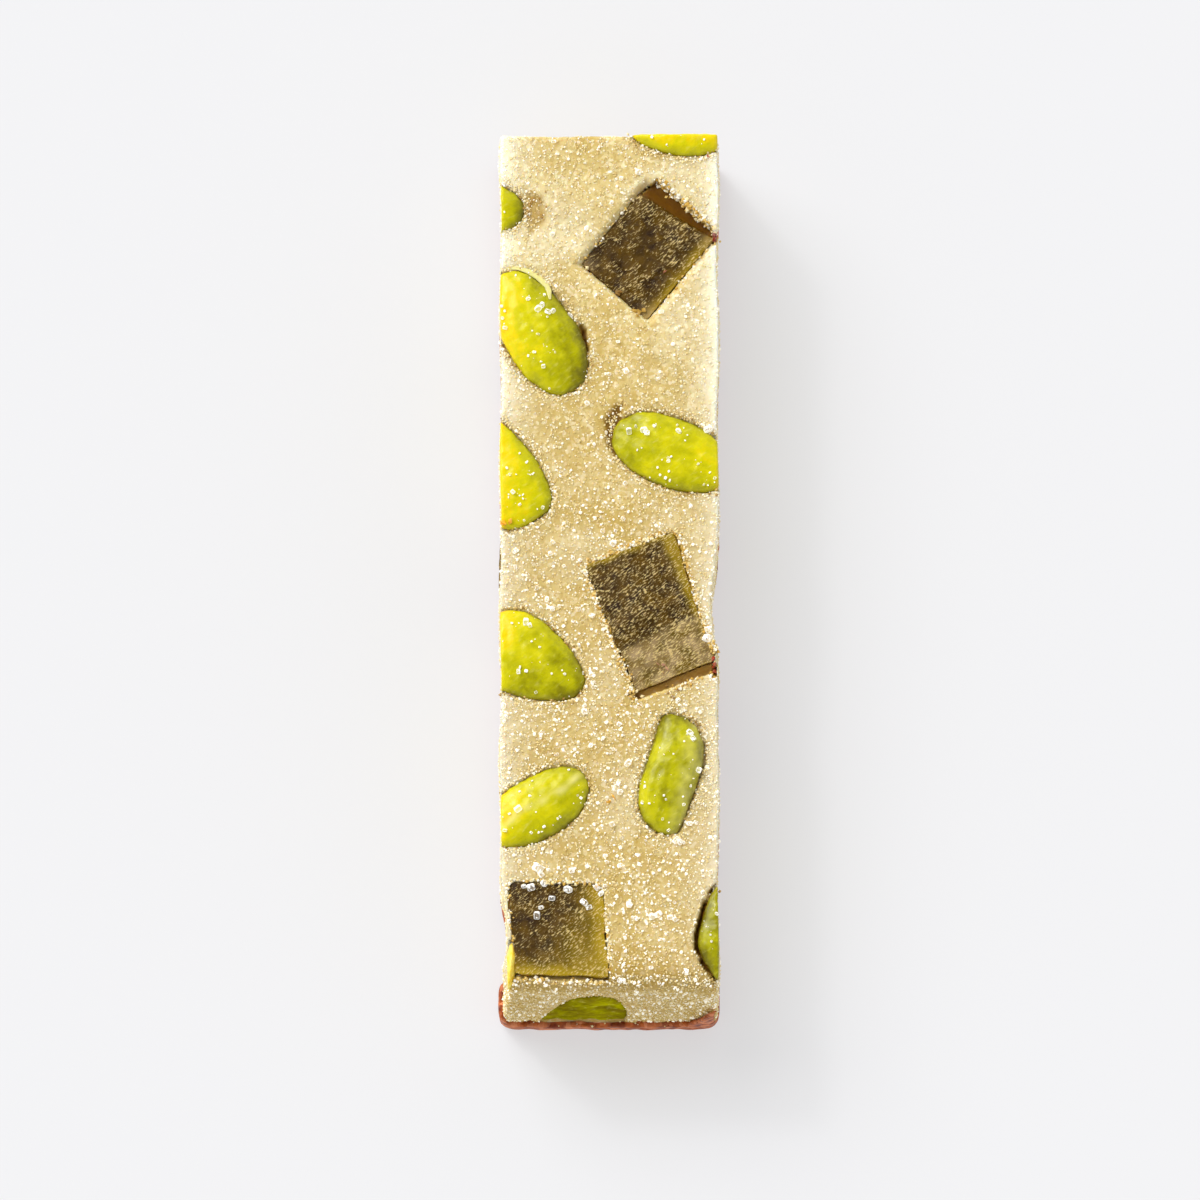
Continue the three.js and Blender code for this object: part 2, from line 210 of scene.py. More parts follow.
def makeMottle():
    # Two colours that run into each other in soft patches
    inputs = [("Scale", "NodeSocketFloat", 200.0), ("Light", "NodeSocketColor", (1, 1, 1, 1))]
    inputs += [("Dark", "NodeSocketColor", (0, 0, 0, 1)), ("Balance", "NodeSocketFloat", 0.5)]
    group, entry, end = newGroup("mottle", inputs, [("Color", "NodeSocketColor")])
    patches = noiseAt(group, objectPlace(group), entry.outputs["Scale"], 4.0, 0.4)
    low = calculate(group, "SUBTRACT", entry.outputs["Balance"], 0.16)
    high = calculate(group, "ADD", entry.outputs["Balance"], 0.16)
    share = stretch(group, patches, low, high)
    color = mixColor(group, share, entry.outputs["Light"], entry.outputs["Dark"])
    group.links.new(color, end.inputs["Color"])
    return group


def makeSugarFrostAndSheen():
    # Short whitish strokes, partly fine sugar and partly painted highlights, all lying about the same way,
    # across the light
    inputs = [("Scale", "NodeSocketFloat", 2500.0), ("Cover", "NodeSocketFloat", 0.5)]
    outputs = [("Mask", "NodeSocketFloat"), ("Height", "NodeSocketFloat")]
    group, entry, end = newGroup("sugarFrostAndSheen", inputs, outputs)
    # turned to lie across the light from the far left, as glints off fine ridges do
    turn = (0.0, 0.0, math.radians(40))
    turned = {"Vector": objectPlace(group), "Rotation": turn, "Scale": (2.8, 1.0, 1.6)}
    place = put(group, "ShaderNodeMapping", turned, vector_type="TEXTURE").outputs[0]
    strokes = noiseAt(group, place, entry.outputs["Scale"], 2.0, 0.4)
    low = calculate(group, "MULTIPLY_ADD", entry.outputs["Cover"], -0.5)
    low.node.inputs[2].default_value = 0.8
    mask = stretch(group, strokes, low, calculate(group, "ADD", low, 0.16))
    group.links.new(mask, end.inputs["Mask"])
    group.links.new(strokes, end.inputs["Height"])
    return group


granules = makeGranules()
mottle = makeMottle()
sugarFrostAndSheen = makeSugarFrostAndSheen()


def applied(tree, group, **values):
    # A use of a shared effect, with its named sockets set or linked
    node = put(tree, "ShaderNodeGroup", node_tree=group)
    for label, value in values.items():
        connect(tree, node, label, value)
    return node.outputs


def newMaterial(name):
    material = bpy.data.materials.new(name)
    material.use_nodes = True
    tree = material.node_tree
    tree.nodes.clear()
    shader = tree.nodes.new("ShaderNodeBsdfPrincipled")
    end = tree.nodes.new("ShaderNodeOutputMaterial")
    tree.links.new(shader.outputs["BSDF"], end.inputs["Surface"])
    return material, tree, shader


def setSockets(shader, **values):
    for label, value in values.items():
        shader.inputs[label.replace("_", " ")].default_value = value


def setSubsurface(shader, weight, radius, scale):
    setSockets(shader, Subsurface_Weight=weight, Subsurface_Radius=radius, Subsurface_Scale=scale * mm)


def addBump(tree, shader, height, depth, strength):
    sockets = {"Height": height, "Distance": depth * mm, "Strength": strength}
    tree.links.new(put(tree, "ShaderNodeBump", sockets).outputs["Normal"], shader.inputs["Normal"])


def zoneChannels(tree, name):
    # The red, green and blue of a colour stored on the mesh, as three masks
    stored = put(tree, "ShaderNodeAttribute", attribute_name=name)
    split = put(tree, "ShaderNodeSeparateColor", {"Color": stored.outputs["Color"]})
    return split.outputs["Red"], split.outputs["Green"], split.outputs["Blue"]


# Materials
def pasteMaterial():
    look = {
        "light": linear(227, 207, 146), "dark": linear(209, 184, 111), "grainDark": linear(192, 162, 83),
        "grainLight": linear(252, 242, 208), "moistAndShade": linear(174, 136, 50), "deep": linear(104, 66, 2),
        "amber": linear(192, 146, 16), "pale": linear(255, 252, 230),
    }
    material, tree, shader = newMaterial("almondPaste")
    moistAndShade, amber, edge = zoneChannels(tree, "zones")
    grain = applied(tree, granules, Scale=2600.0)
    color = applied(tree, mottle, Scale=240.0, Light=look["light"], Dark=look["dark"])["Color"]
    color = mixColor(tree, stretch(tree, grain["Tone"], 0.42, 0.1, 0.0, 0.45), color, look["grainDark"])
    color = mixColor(tree, stretch(tree, grain["Tone"], 0.72, 0.95, 0.0, 0.6), color, look["grainLight"])
    # Painted glow: paler towards the top's edges and on the sides, mixed with pale patches of the paste's own
    # tone
    color = mixColor(tree, edge, color, look["pale"])
    # Painted light: amber glow round the first two cubes, for light through the thin translucent paste
    color = mixColor(tree, amber, color, look["amber"])
    # Moist paste with painted shade: halos round the pieces, crevices, gaps and sunk patches; the deep colour
    # is painted shade
    color = mixColor(tree, stretch(tree, moistAndShade, 0.0, 0.5, 0.0, 0.8), color, look["moistAndShade"])
    color = mixColor(tree, stretch(tree, moistAndShade, 0.5, 1.0), color, look["deep"])
    tree.links.new(color, shader.inputs["Base Color"])
    tree.links.new(stretch(tree, grain["Tone"], 0.0, 1.0, 0.7, 0.4), shader.inputs["Roughness"])
    setSockets(shader, Specular_IOR_Level=0.1)
    setSubsurface(shader, 0.8, (1.0, 0.8, 0.45), 1.0)
    addBump(tree, shader, grain["Height"], 0.05, 0.4)
    return material


def grainMaterial():
    # Fine grains of sugar and almond, each with its own tone
    look = {"dark": linear(214, 186, 112), "middle": linear(234, 215, 156), "light": linear(255, 251, 234)}
    material, tree, shader = newMaterial("fineGrain")
    tone, _, _ = zoneChannels(tree, "tone")
    color = mixColor(tree, stretch(tree, tone, 0.0, 0.55), look["dark"], look["middle"])
    color = mixColor(tree, stretch(tree, tone, 0.65, 0.95), color, look["light"])
    tree.links.new(color, shader.inputs["Base Color"])
    tree.links.new(stretch(tree, tone, 0.0, 1.0, 0.45, 0.12), shader.inputs["Roughness"])
    setSockets(shader, Specular_IOR_Level=0.25)
    setSockets(shader, Emission_Color=linear(238, 219, 160), Emission_Strength=0.06)  # painted glow: emission lifts the shaded sides, for light scattered inside
    return material


def crystalMaterial():
    # Half-clear sugar: white inside, with bright flat faces
    material, tree, shader = newMaterial("clearSugar")
    cloud = noiseAt(tree, objectPlace(tree), 2000.0)
    color = mixColor(tree, stretch(tree, cloud, 0.35, 0.7), linear(255, 254, 246), linear(252, 244, 216))
    tree.links.new(color, shader.inputs["Base Color"])
    tree.links.new(stretch(tree, cloud, 0.4, 0.7, 0.05, 0.2), shader.inputs["Roughness"])
    setSockets(shader, Specular_IOR_Level=0.4)
    setSockets(shader, Emission_Color=linear(255, 250, 232), Emission_Strength=0.22)  # painted glow: emission lifts the shaded sides, for light scattered inside
    return material


def clearSugarMaterial():
    # Clear crystals: see-through where a face is turned to the eye, with a painted reflection: opaque white
    # round the outline
    material, tree, shader = newMaterial("clearCrystal")
    cloud = noiseAt(tree, objectPlace(tree), 2500.0, 1.0)
    facing = put(tree, "ShaderNodeLayerWeight", {"Blend": 0.5}).outputs["Facing"]
    # painted reflection: more opaque and white towards the outline
    outline = stretch(tree, facing, 0.1, 0.6, 0.12, 0.9)
    whole = calculate(tree, "ADD", outline, stretch(tree, cloud, 0.54, 0.68))
    tree.links.new(stretch(tree, whole, 0.0, 1.0), shader.inputs["Alpha"])
    tree.links.new(stretch(tree, cloud, 0.4, 0.7, 0.03, 0.15), shader.inputs["Roughness"])
    setSockets(shader, Base_Color=linear(255, 255, 252), Specular_IOR_Level=0.8)
    # painted glow: emission lifts the shaded sides, for light scattered inside
    setSockets(shader, Emission_Color=linear(255, 252, 240), Emission_Strength=0.25)
    return material


def kernelMaterial(name, specular, coat, relief):
    look = {
        "ramp": (
            (0.0, linear(72, 62, 2)), (0.2, linear(126, 120, 2)), (0.42, linear(180, 176, 3)),
            (0.65, linear(212, 203, 4)), (0.85, linear(238, 210, 6)), (0.95, linear(242, 206, 8)),
            (1.0, linear(238, 186, 8)),
        ),
        "rim": linear(112, 90, 22), "pale": linear(242, 232, 150), "sugar": linear(236, 228, 120),
    }
    material, tree, shader = newMaterial(name)
    ripe, rim, pale = zoneChannels(tree, "zones")
    place = objectPlace(tree)
    patches = stretch(tree, noiseAt(tree, place, 400.0, 3.0, 0.4), 0.3, 0.7, -0.07, 0.07)
    fine = stretch(tree, noiseAt(tree, place, 2000.0, 3.0), 0.3, 0.7, -0.05, 0.05)
    ripeness = calculate(tree, "ADD", calculate(tree, "ADD", ripe, patches), fine)
    ramp = put(tree, "ShaderNodeValToRGB", {"Fac": ripeness})
    points = ramp.color_ramp.elements
    while len(points) < len(look["ramp"]):
        points.new(0.5)
    for point, (position, color) in zip(points, look["ramp"]):
        point.position = position
        point.color = color
    frostAndSheen = applied(tree, sugarFrostAndSheen, Scale=2200.0, Cover=0.42)
    color = mixColor(tree, pale, ramp.outputs["Color"], look["pale"])
    # rim colour: skin, and painted shade low on the kernel by the paste
    color = mixColor(tree, rim, color, look["rim"])
    # sugar strokes, partly painted highlights
    color = mixColor(tree, calculate(tree, "MULTIPLY", frostAndSheen["Mask"], 0.25), color, look["sugar"])
    tree.links.new(color, shader.inputs["Base Color"])
    tree.links.new(stretch(tree, frostAndSheen["Height"], 0.3, 0.7, 0.22, 0.4), shader.inputs["Roughness"])
    setSockets(shader, Specular_IOR_Level=specular, Coat_Weight=coat, Coat_Roughness=0.12)
    setSubsurface(shader, 0.3, (1.0, 0.85, 0.1), 0.8)
    addBump(tree, shader, frostAndSheen["Height"], 0.08, relief)
    return material


def fruitMaterial():
    look = {
        "light": linear(92, 66, 6), "dark": linear(46, 27, 1), "frostAndSheen": linear(230, 204, 138),
        "glow": linear(186, 156, 28), "amber": linear(112, 74, 2), "film": linear(176, 150, 108),
    }
    material, tree, shader = newMaterial("candiedFruit")
    glow, frostAndSheenCover, amber = zoneChannels(tree, "zones")
    film = put(tree, "ShaderNodeAttribute", attribute_name="film").outputs["Fac"]
    color = applied(tree, mottle, Scale=700.0, Light=look["light"], Dark=look["dark"])["Color"]
    color = mixColor(tree, amber, color, look["amber"])
    color = mixColor(tree, glow, color, look["glow"])
    color = mixColor(tree, film, color, look["film"])
    # frost strokes: sugar and painted highlights
    frostAndSheen = applied(tree, sugarFrostAndSheen, Scale=6200.0, Cover=frostAndSheenCover)
    color = mixColor(tree, calculate(tree, "MULTIPLY", frostAndSheen["Mask"], 0.8), color, look["frostAndSheen"])
    tree.links.new(color, shader.inputs["Base Color"])
    tree.links.new(stretch(tree, frostAndSheen["Mask"], 0.0, 1.0, 0.25, 0.4), shader.inputs["Roughness"])
    setSockets(shader, Specular_IOR_Level=0.1)
    setSubsurface(shader, 0.2, (1.0, 0.7, 0.1), 1.5)
    addBump(tree, shader, frostAndSheen["Height"], 0.16, 0.9)
    return material


def peelMaterial():
    material, tree, shader = newMaterial("yellowPeel")
    streak = noiseAt(tree, objectPlace(tree), 1100.0, 3.0, 0.5)
    color = mixColor(tree, stretch(tree, streak, 0.35, 0.65), linear(252, 230, 110), linear(240, 204, 30))
    tree.links.new(color, shader.inputs["Base Color"])
    tree.links.new(stretch(tree, streak, 0.3, 0.7, 0.3, 0.5), shader.inputs["Roughness"])
    setSubsurface(shader, 0.4, (1.0, 0.8, 0.2), 0.6)
    addBump(tree, shader, streak, 0.1, 0.4)
    return material


def chocolateMaterial():
    look = {"light": linear(200, 106, 48), "dark": linear(118, 44, 10), "bloom": linear(234, 152, 108)}
    material, tree, shader = newMaterial("chocolate")
    grain = applied(tree, granules, Scale=1500.0)
    color = applied(tree, mottle, Scale=800.0, Light=look["light"], Dark=look["dark"])["Color"]
    color = mixColor(tree, stretch(tree, grain["Tone"], 0.55, 0.95, 0.0, 0.65), color, look["bloom"])
    tree.links.new(color, shader.inputs["Base Color"])
    tree.links.new(stretch(tree, grain["Tone"], 0.0, 1.0, 0.4, 0.6), shader.inputs["Roughness"])
    setSockets(shader, Specular_IOR_Level=0.2)
    addBump(tree, shader, grain["Height"], 0.2, 0.8)
    return material


def crumbMaterial():
    # Each crumb carries its own colour
    material, tree, shader = newMaterial("crumb")
    stored = put(tree, "ShaderNodeAttribute", attribute_name="tone").outputs["Color"]
    speck = noiseAt(tree, objectPlace(tree), 3000.0)
    color = mixColor(tree, stretch(tree, speck, 0.4, 0.75, 0.0, 0.2), stored, linear(246, 226, 170))
    tree.links.new(color, shader.inputs["Base Color"])
    tree.links.new(stretch(tree, speck, 0.3, 0.7, 0.35, 0.6), shader.inputs["Roughness"])
    return material


# Making pieces
def makePiece(name, points, faces, material, replaced=(), smooth=True,
              zones=None, zoneName="zones", film=None):
    mesh = bpy.data.meshes.new(name)
    faceList = faces if isinstance(faces, list) else faces.tolist()
    mesh.from_pydata((np.asarray(points) * mm).tolist(), [], faceList)
    mesh.polygons.foreach_set("use_smooth", [smooth] * len(mesh.polygons))
    if film is not None:
        mesh.attributes.new("film", "FLOAT", "POINT").data.foreach_set("value", film)
    if zones is not None:
        store = mesh.attributes.new(zoneName, "FLOAT_COLOR", "POINT")
        opaque = np.concatenate([zones, np.ones((len(zones), 1))], axis=1)
        store.data.foreach_set("color", opaque.astype(np.float32).ravel())
    mesh.materials.append(material)
    mesh.update()
    piece = bpy.data.objects.new(name, mesh)
    bpy.context.scene.collection.objects.link(piece)
    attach(piece, "root")
    if replaced:
        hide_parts(*replaced)
    return piece


def relax(points, edges, rounds):
    # Smooths without shrinking: each round moves in, then back out a little further
    count = np.bincount(edges.ravel(), minlength=len(points))[:, None]
    for step in range(2 * rounds):
        total = np.zeros_like(points)
        np.add.at(total, edges[:, 0], points[edges[:, 1]])
        np.add.at(total, edges[:, 1], points[edges[:, 0]])
        points = points + (0.5 if step % 2 == 0 else -0.52) * (total / count - points)
    return points


def unit(vectors):
    # The same directions, each 1 long
    return vectors / np.maximum(np.linalg.norm(vectors, axis=1, keepdims=True), 1e-12)


def quadCrossings(points, quads):
    # The way out of each quad, with a length of twice its area
    corners = points[quads]
    return np.cross(corners[:, 2] - corners[:, 0], corners[:, 3] - corners[:, 1])


def vertexNormals(points, faces):
    quads = np.array(faces)
    crossings = quadCrossings(points, quads)
    normals = np.zeros_like(points)
    for column in range(4):
        np.add.at(normals, quads[:, column], crossings)
    return unit(normals)


def fineMesh(node, voxel, rounds):
    # Points, faces and normals of a solid with small even faces and soft edges
    work = bpy.data.objects.new("work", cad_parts[node].data.copy())
    bpy.context.scene.collection.objects.link(work)
    welded = bmesh.new()
    welded.from_mesh(work.data)
    bmesh.ops.remove_doubles(welded, verts=welded.verts, dist=1e-6)
    welded.to_mesh(work.data)
    welded.free()
    remesh = work.modifiers.new("voxels", "REMESH")
    remesh.mode = "VOXEL"
    remesh.voxel_size = voxel * mm
    mesh = work.evaluated_get(bpy.context.evaluated_depsgraph_get()).to_mesh()
    points = np.empty(len(mesh.vertices) * 3)
    mesh.vertices.foreach_get("co", points)
    edges = np.empty(len(mesh.edges) * 2, dtype=int)
    mesh.edges.foreach_get("vertices", edges)
    faces = [list(polygon.vertices) for polygon in mesh.polygons]
    bpy.data.objects.remove(work)
    points = relax(points.reshape(-1, 3) / mm, edges.reshape(-1, 2), rounds)
    return points, faces, vertexNormals(points, faces)


# Cubes of the top, as the solids have them: the middle and size of the upper face, and the turn
cubeLooks = {
    "fruit_cube_1": {
        "middle": (4.7, 39.5), "size": (12.7, 10.7), "top": 19.4, "yaw": 51, "stretch": 0.5,
        "frostAndSheen": 0.47, "contrast": 0.08, "ridges": 0.24, "darkMiddle": True,
        "glow": {"right": 0.8}, "glowShare": 0.6,
        "band": ((641, 192), (652, 160), (740, 215), (711, 236)),
    },
    "fruit_cube_2": {
        "middle": (5.0, -5.5), "size": (16.8, 10.6), "top": 20.2, "yaw": -68, "crevice": 0.7,
        "frostAndSheen": 0.55, "contrast": 0.15, "paleEnd": True, "bend": (2.7, 7),
        "glow": {"back": 0.5, "left": 0.5, "front": 0.5}, "glowShare": 0.5,
    },
    "fruit_cube_3": {
        "middle": (-6.2, -44.7), "size": (11.5, 11.4), "top": 19.9, "yaw": -2, "skew": -0.1,
        "frostAndSheen": 0.5, "contrast": 0.15,
        "glow": {"front": 2.0, "right": 1.2}, "glowShare": 0.8, "diagonal": 0.6,
    },
}


def cubePlace(look, points):
    # Places along and across a cube of the top, from its middle
    yaw = math.radians(look["yaw"])
    offset = points[:, :2] - np.array(look["middle"])
    along = offset @ np.array([math.cos(yaw), math.sin(yaw)])
    across = offset @ np.array([-math.sin(yaw), math.cos(yaw)])
    return along - look.get("skew", 0.0) * across, across


def backStretch(look, along, across):
    # How far the back edge of a cube is drawn out, most at its right corner
    return look["stretch"] * smoothStep(-across / look["size"][1], -0.5, 0.5) * (along < 0)


def swelling(look, points):
    # How far a kernel bulges to the left, along the length of the bar
    middle, reach, size = look["swell"]
    return size * np.exp(-(((points[:, 1] - middle) / reach) ** 2))


# Paste: a fine shell over the solid's own sides, granular, with rims that crumble round what is set in it
pasteShape = {
    "cells": (112, 440, 40),
    "rowPower": 1.5,  # rows of the sides crowd together towards the top
    "nominalSide": 13.0,  # about where the sides and the near end of the solid are
    "nominalNear": -50.0,
    "sideReadings": (90, 7),  # along the bar and up
    "sideLift": 10.0,  # how far outside the readings start
    "endReadings": 12,
    "endLift": 20.0,
    "readAcross": (-9, -6, 6, 9, 11),  # where the near end is read, clear of its kernel
    "edgeRadius": 0.45,
    "endRadius": 3.0,  # of the edge above the foot
    "endReach": 7.5,  # where the edge starts to get rounder towards the near end
    "castMargin": 0.5,  # the solid is read this far in from the edges
    "rimJitter": 0.17,  # how ragged the rims of the pockets are
    "jitterSize": 0.55,
    "coverTop": 5.9,  # a piece shows where it lies no deeper than this under the shell
    "coverSide": 0.45,
    "ringDepth": (0.03, 0.25),  # of the rings round the kernels: everywhere, and more in patches
    "sideFollow": 0.9,  # how deep the sides follow hollows of the solid
    "cubeSlope": 0.9,  # how wide the paste slopes to the top of a cube
    "stretchDepth": 0.4,  # how far it is sunk where the back edge of a cube is drawn out
    "gapDepth": 1.3,
    "gapWidth": 0.45,
    "gapped": "pistachio_09",  # the kernel with an open gap along one side
    "sunkUnder": 0.45,  # how far the paste lies under the pieces set in it
    "sunkRim": 0.1,  # less under the rims of kernels
    "lump": 0.08,
    "grainSize": 0.5,
    "grainHeight": 0.035,
    "swellHeights": (15, 8),  # below these the paste swells over the foot, so no gap shows there
    "footSwell": 0.35,
    "sideSwell": 0.6,
}
pasteTone = {
    "halo": 0.5,  # moist paste and painted shade round the pieces
    "haloReach": 0.8,
    # painted shade: darker, browner paste the deeper a crevice lies
    "crevice": 0.8,
    "sideMoistAndShade": 0.6,  # share of it on the sides
    # painted shade: darker towards the foot, where the near end leans away from the light
    "footShade": 0.2,
    "nearDarkening": 0.16,  # the whole near half is a little darker
    # painted light: amber rims round these cubes, for light through the thin paste
    "amberCubes": ["fruit_cube_1", "fruit_cube_2"],
    "amberReach": 0.8,
    "edge": 1.1,  # painted glow: paler edges of the top, for light shining through the thin paste
    "edgeReach": 2.1,
    # the sides get an even share of the painted glow
    "sides": 0.5,
    # pale patches of the paste's own tone, carried with the glow
    "patches": 0.3,
}
# Patches of the top where the paste is sunk, and darkened by stain and painted shade: outline in pixels,
# clockwise, depth in mm, stain and shade
pastePatches = (
    {"outline": ((657, 178), (717, 232), (708, 240), (638, 196)), "depth": 1.1, "moistAndShade": 1.0, "soft": 0.12},
    {
        "outline": ((604, 418), (616, 404), (623, 404), (620, 462), (606, 446)),
        "depth": 0.35, "moistAndShade": 0.9, "soft": 0.4,
    },
    {"outline": ((524, 188), (542, 196), (546, 222), (528, 236)), "depth": 0.3, "moistAndShade": 0.4, "soft": 0.5},
    {"outline": ((579, 322), (586, 328), (589, 352), (582, 356)), "depth": 1.0, "moistAndShade": 1.0, "soft": 0.25},
    {"outline": ((709, 231), (722, 231), (722, 243), (709, 243)), "depth": 0.9, "moistAndShade": 1.0, "soft": 0.2},
    {"outline": ((711, 655), (722, 650), (722, 676), (711, 676)), "depth": 0.9, "moistAndShade": 1.0, "soft": 0.3},
    {"outline": ((634, 690), (710, 661), (713, 672), (637, 699)), "depth": 0.8, "moistAndShade": 0.85, "soft": 0.15},
)


def boxShell(cells):
    # Whole-number corners of the top and four sides, quads that face out, and the loop round the underside
    across, along, up = cells
    patches = []

    def side(start, stepOne, stepTwo, countOne, countTwo):
        one, two = np.meshgrid(np.arange(countOne), np.arange(countTwo), indexing="ij")
        corners = []
        for addOne, addTwo in ((0, 0), (1, 0), (1, 1), (0, 1)):
            offsets = (one + addOne)[..., None] * np.array(stepOne)
            offsets = offsets + (two + addTwo)[..., None] * np.array(stepTwo)
            corners.append(np.array(start) + offsets)
        patches.append(np.stack(corners, axis=-2).reshape(-1, 4, 3))

    side((0, 0, up), (1, 0, 0), (0, 1, 0), across, along)
    side((0, 0, 0), (1, 0, 0), (0, 0, 1), across, up)
    side((across, along, 0), (-1, 0, 0), (0, 0, 1), across, up)
    side((0, along, 0), (0, -1, 0), (0, 0, 1), along, up)
    side((across, 0, 0), (0, 1, 0), (0, 0, 1), along, up)
    quads = np.concatenate(patches)
    lattice, index = np.unique(quads.reshape(-1, 3), axis=0, return_inverse=True)
    order = {tuple(corner): number for number, corner in enumerate(lattice.tolist())}
    loop = [(0, step) for step in range(along)] + [(step, along) for step in range(across)]
    loop += [(across, along - step) for step in range(along)] + [(across - step, 0) for step in range(across)]
    return lattice, index.reshape(-1, 4), [order[(one, two, 0)] for one, two in loop]


def outermost(tree, places, direction, lift):
    # Where the first solid is met from outside, taken at several places for each line
    forward = Vector(direction)
    hits = []
    for line in places:
        met = (tree.ray_cast(Vector(place) - forward * lift, forward, 2 * lift) for place in line)
        hits.append(min((hit[3] - lift for hit in met if hit[0] is not None), default=0.0))
    return np.array(hits)


def insideShare(points, outline, soft):
    # 1 inside a clockwise outline given in pixels of the photograph, falling to 0 across its soft edge
    corners = np.array([atPixel(*pixel)[:2] for pixel in outline])
    distance = np.full(len(points), np.inf)
    for start, end in zip(corners, np.roll(corners, -1, axis=0)):
        step = (end - start) / np.linalg.norm(end - start)
        distance = np.minimum(distance, (points[:, :2] - start) @ np.array([step[1], -step[0]]))
    return smoothStep(distance, -soft, soft)


def pasteLines(tree, low, high):
    # Left, right and near lines of the solid, read from it at several heights
    level = photo["planeHeight"]
    shape = pasteShape
    side, end, lift = shape["nominalSide"], shape["nominalNear"], shape["sideLift"]
    countAlong, countUp = shape["sideReadings"]
    heights = np.linspace(low[2] + 1, level - 2, countUp)
    alongs = np.linspace(low[1] + 2.0, high[1] - 0.3, countAlong)
    left = outermost(tree, [[(-side, y, z) for z in heights] for y in alongs], (1, 0, 0), lift) - side
    right = side - outermost(tree, [[(side, y, z) for z in heights] for y in alongs], (-1, 0, 0), lift)
    levels = np.linspace(low[2] + 0.5, level - 2.5, shape["endReadings"])
    places = [[(x, end, z) for x in shape["readAcross"]] for z in levels]
    near = outermost(tree, places, (0, 1, 0), shape["endLift"]) + end
    return alongs, left, right, levels, near


def roundEdges(points, toLeft, toRight, toNear, toFar):
    # Points moved onto rounded edges, much rounder above the foot, and the way out at each
    shape = pasteShape
    atEnd = smoothStep(toNear, shape["endReach"], shape["endRadius"])
    sideRadius = np.full(len(points), shape["edgeRadius"])
    endRadius = sideRadius + (shape["endRadius"] - sideRadius) * atEnd
    radii = np.stack([sideRadius, endRadius, endRadius], axis=1)
    lean = np.stack([
        np.clip(sideRadius - toRight, 0, None) - np.clip(sideRadius - toLeft, 0, None),
        np.clip(endRadius - toFar, 0, None) - np.clip(endRadius - toNear, 0, None),
        np.clip(endRadius - (photo["planeHeight"] - points[:, 2]), 0, None),
    ], axis=1)
    bend = lean / radii
    rounded = points - lean + lean / np.linalg.norm(bend, axis=1, keepdims=True)
    return rounded, unit(bend / radii)


def pasteDepths(shell):
    # How deep the gaps show: shallow rings round the pieces, and open crevices where the solid has them.
    # Gives the depth, how much of it isn't the slope to a cube, and the stain and painted shade in the gaps.
    shape = pasteShape
    points, loose, onTop, covered = (shell[key] for key in ("points", "loose", "onTop", "covered"))
    kernelDistance, insetDepth = shell["kernelDistance"], shell["insetDepth"]
    least, more = shape["ringDepth"]
    limit = least + more * shell["patchy"] ** 2 * smoothStep(kernelDistance, 0.8, 0.4)
    pieceDistance = np.minimum(np.minimum(kernelDistance, shell["cubeDistance"]), shell["peelDistance"])
    follow = shape["sideFollow"] * smoothStep(pieceDistance, 0.5, 2.0)
    limit = np.where(onTop, limit, np.maximum(limit, follow))
    slope = np.zeros(len(points))
    for look in cubeLooks.values():
        along, across = cubePlace(look, loose)
        halfLength, halfWidth = look["size"][0] / 2, look["size"][1] / 2
        beyond = np.stack([np.abs(along) - halfLength, np.abs(across) - halfWidth])
        drop = photo["planeHeight"] - look["top"]
        slope += drop * smoothStep(beyond.max(axis=0), shape["cubeSlope"], 0.1)
        if "stretch" in look:
            past = np.maximum(beyond[0] - backStretch(look, along, across), beyond[1])
            slope += shape["stretchDepth"] * smoothStep(past, 0.15, -0.05) * (along < 0)
        if "crevice" in look:
            inCrevice = (along > halfLength - 0.25) & (along < halfLength + 2) & (beyond[1] < 1)
            limit[inCrevice & onTop] = look["crevice"]
    limit = np.where(onTop, limit * smoothStep(shell["sideDistance"], 0.2, 0.8), limit)
    depth = np.clip(shell["solidDepth"], 0, limit)
    depth = np.where(onTop, np.maximum(depth, slope), depth)

    gapWidth = shape["gapWidth"] + swelling(kernelLooks[shape["gapped"]], points)
    gapDistance = nearestDistances(solidTree([shape["gapped"]]), loose)
    # stain and painted shade along the open gap beside a kernel
    stainAndShade = smoothStep(gapDistance - gapWidth, 0.1, -0.1) * onTop
    stainAndShade *= smoothStep(smoothNoise(points, 1.6, 7), -0.35, 0.0)
    depth = np.maximum(depth, shape["gapDepth"] * stainAndShade)
    sunk = shape["sunkRim"] + shape["sunkUnder"] * smoothStep(insetDepth, 0.3, 0.0)
    sunk = np.where(kernelDistance < 0.6, sunk, shape["sunkUnder"])
    depth[covered] = np.maximum(insetDepth + sunk, 0)[covered]
    for patch in pastePatches:
        share = insideShare(loose, patch["outline"], patch["soft"]) * onTop
        under = np.where(share > 0.5, np.minimum(depth, patch["depth"]), depth)
        depth = np.where(covered, under, np.maximum(depth, patch["depth"] * share))
        stainAndShade = np.maximum(stainAndShade, patch["moistAndShade"] * share)
    return depth, depth - slope, stainAndShade


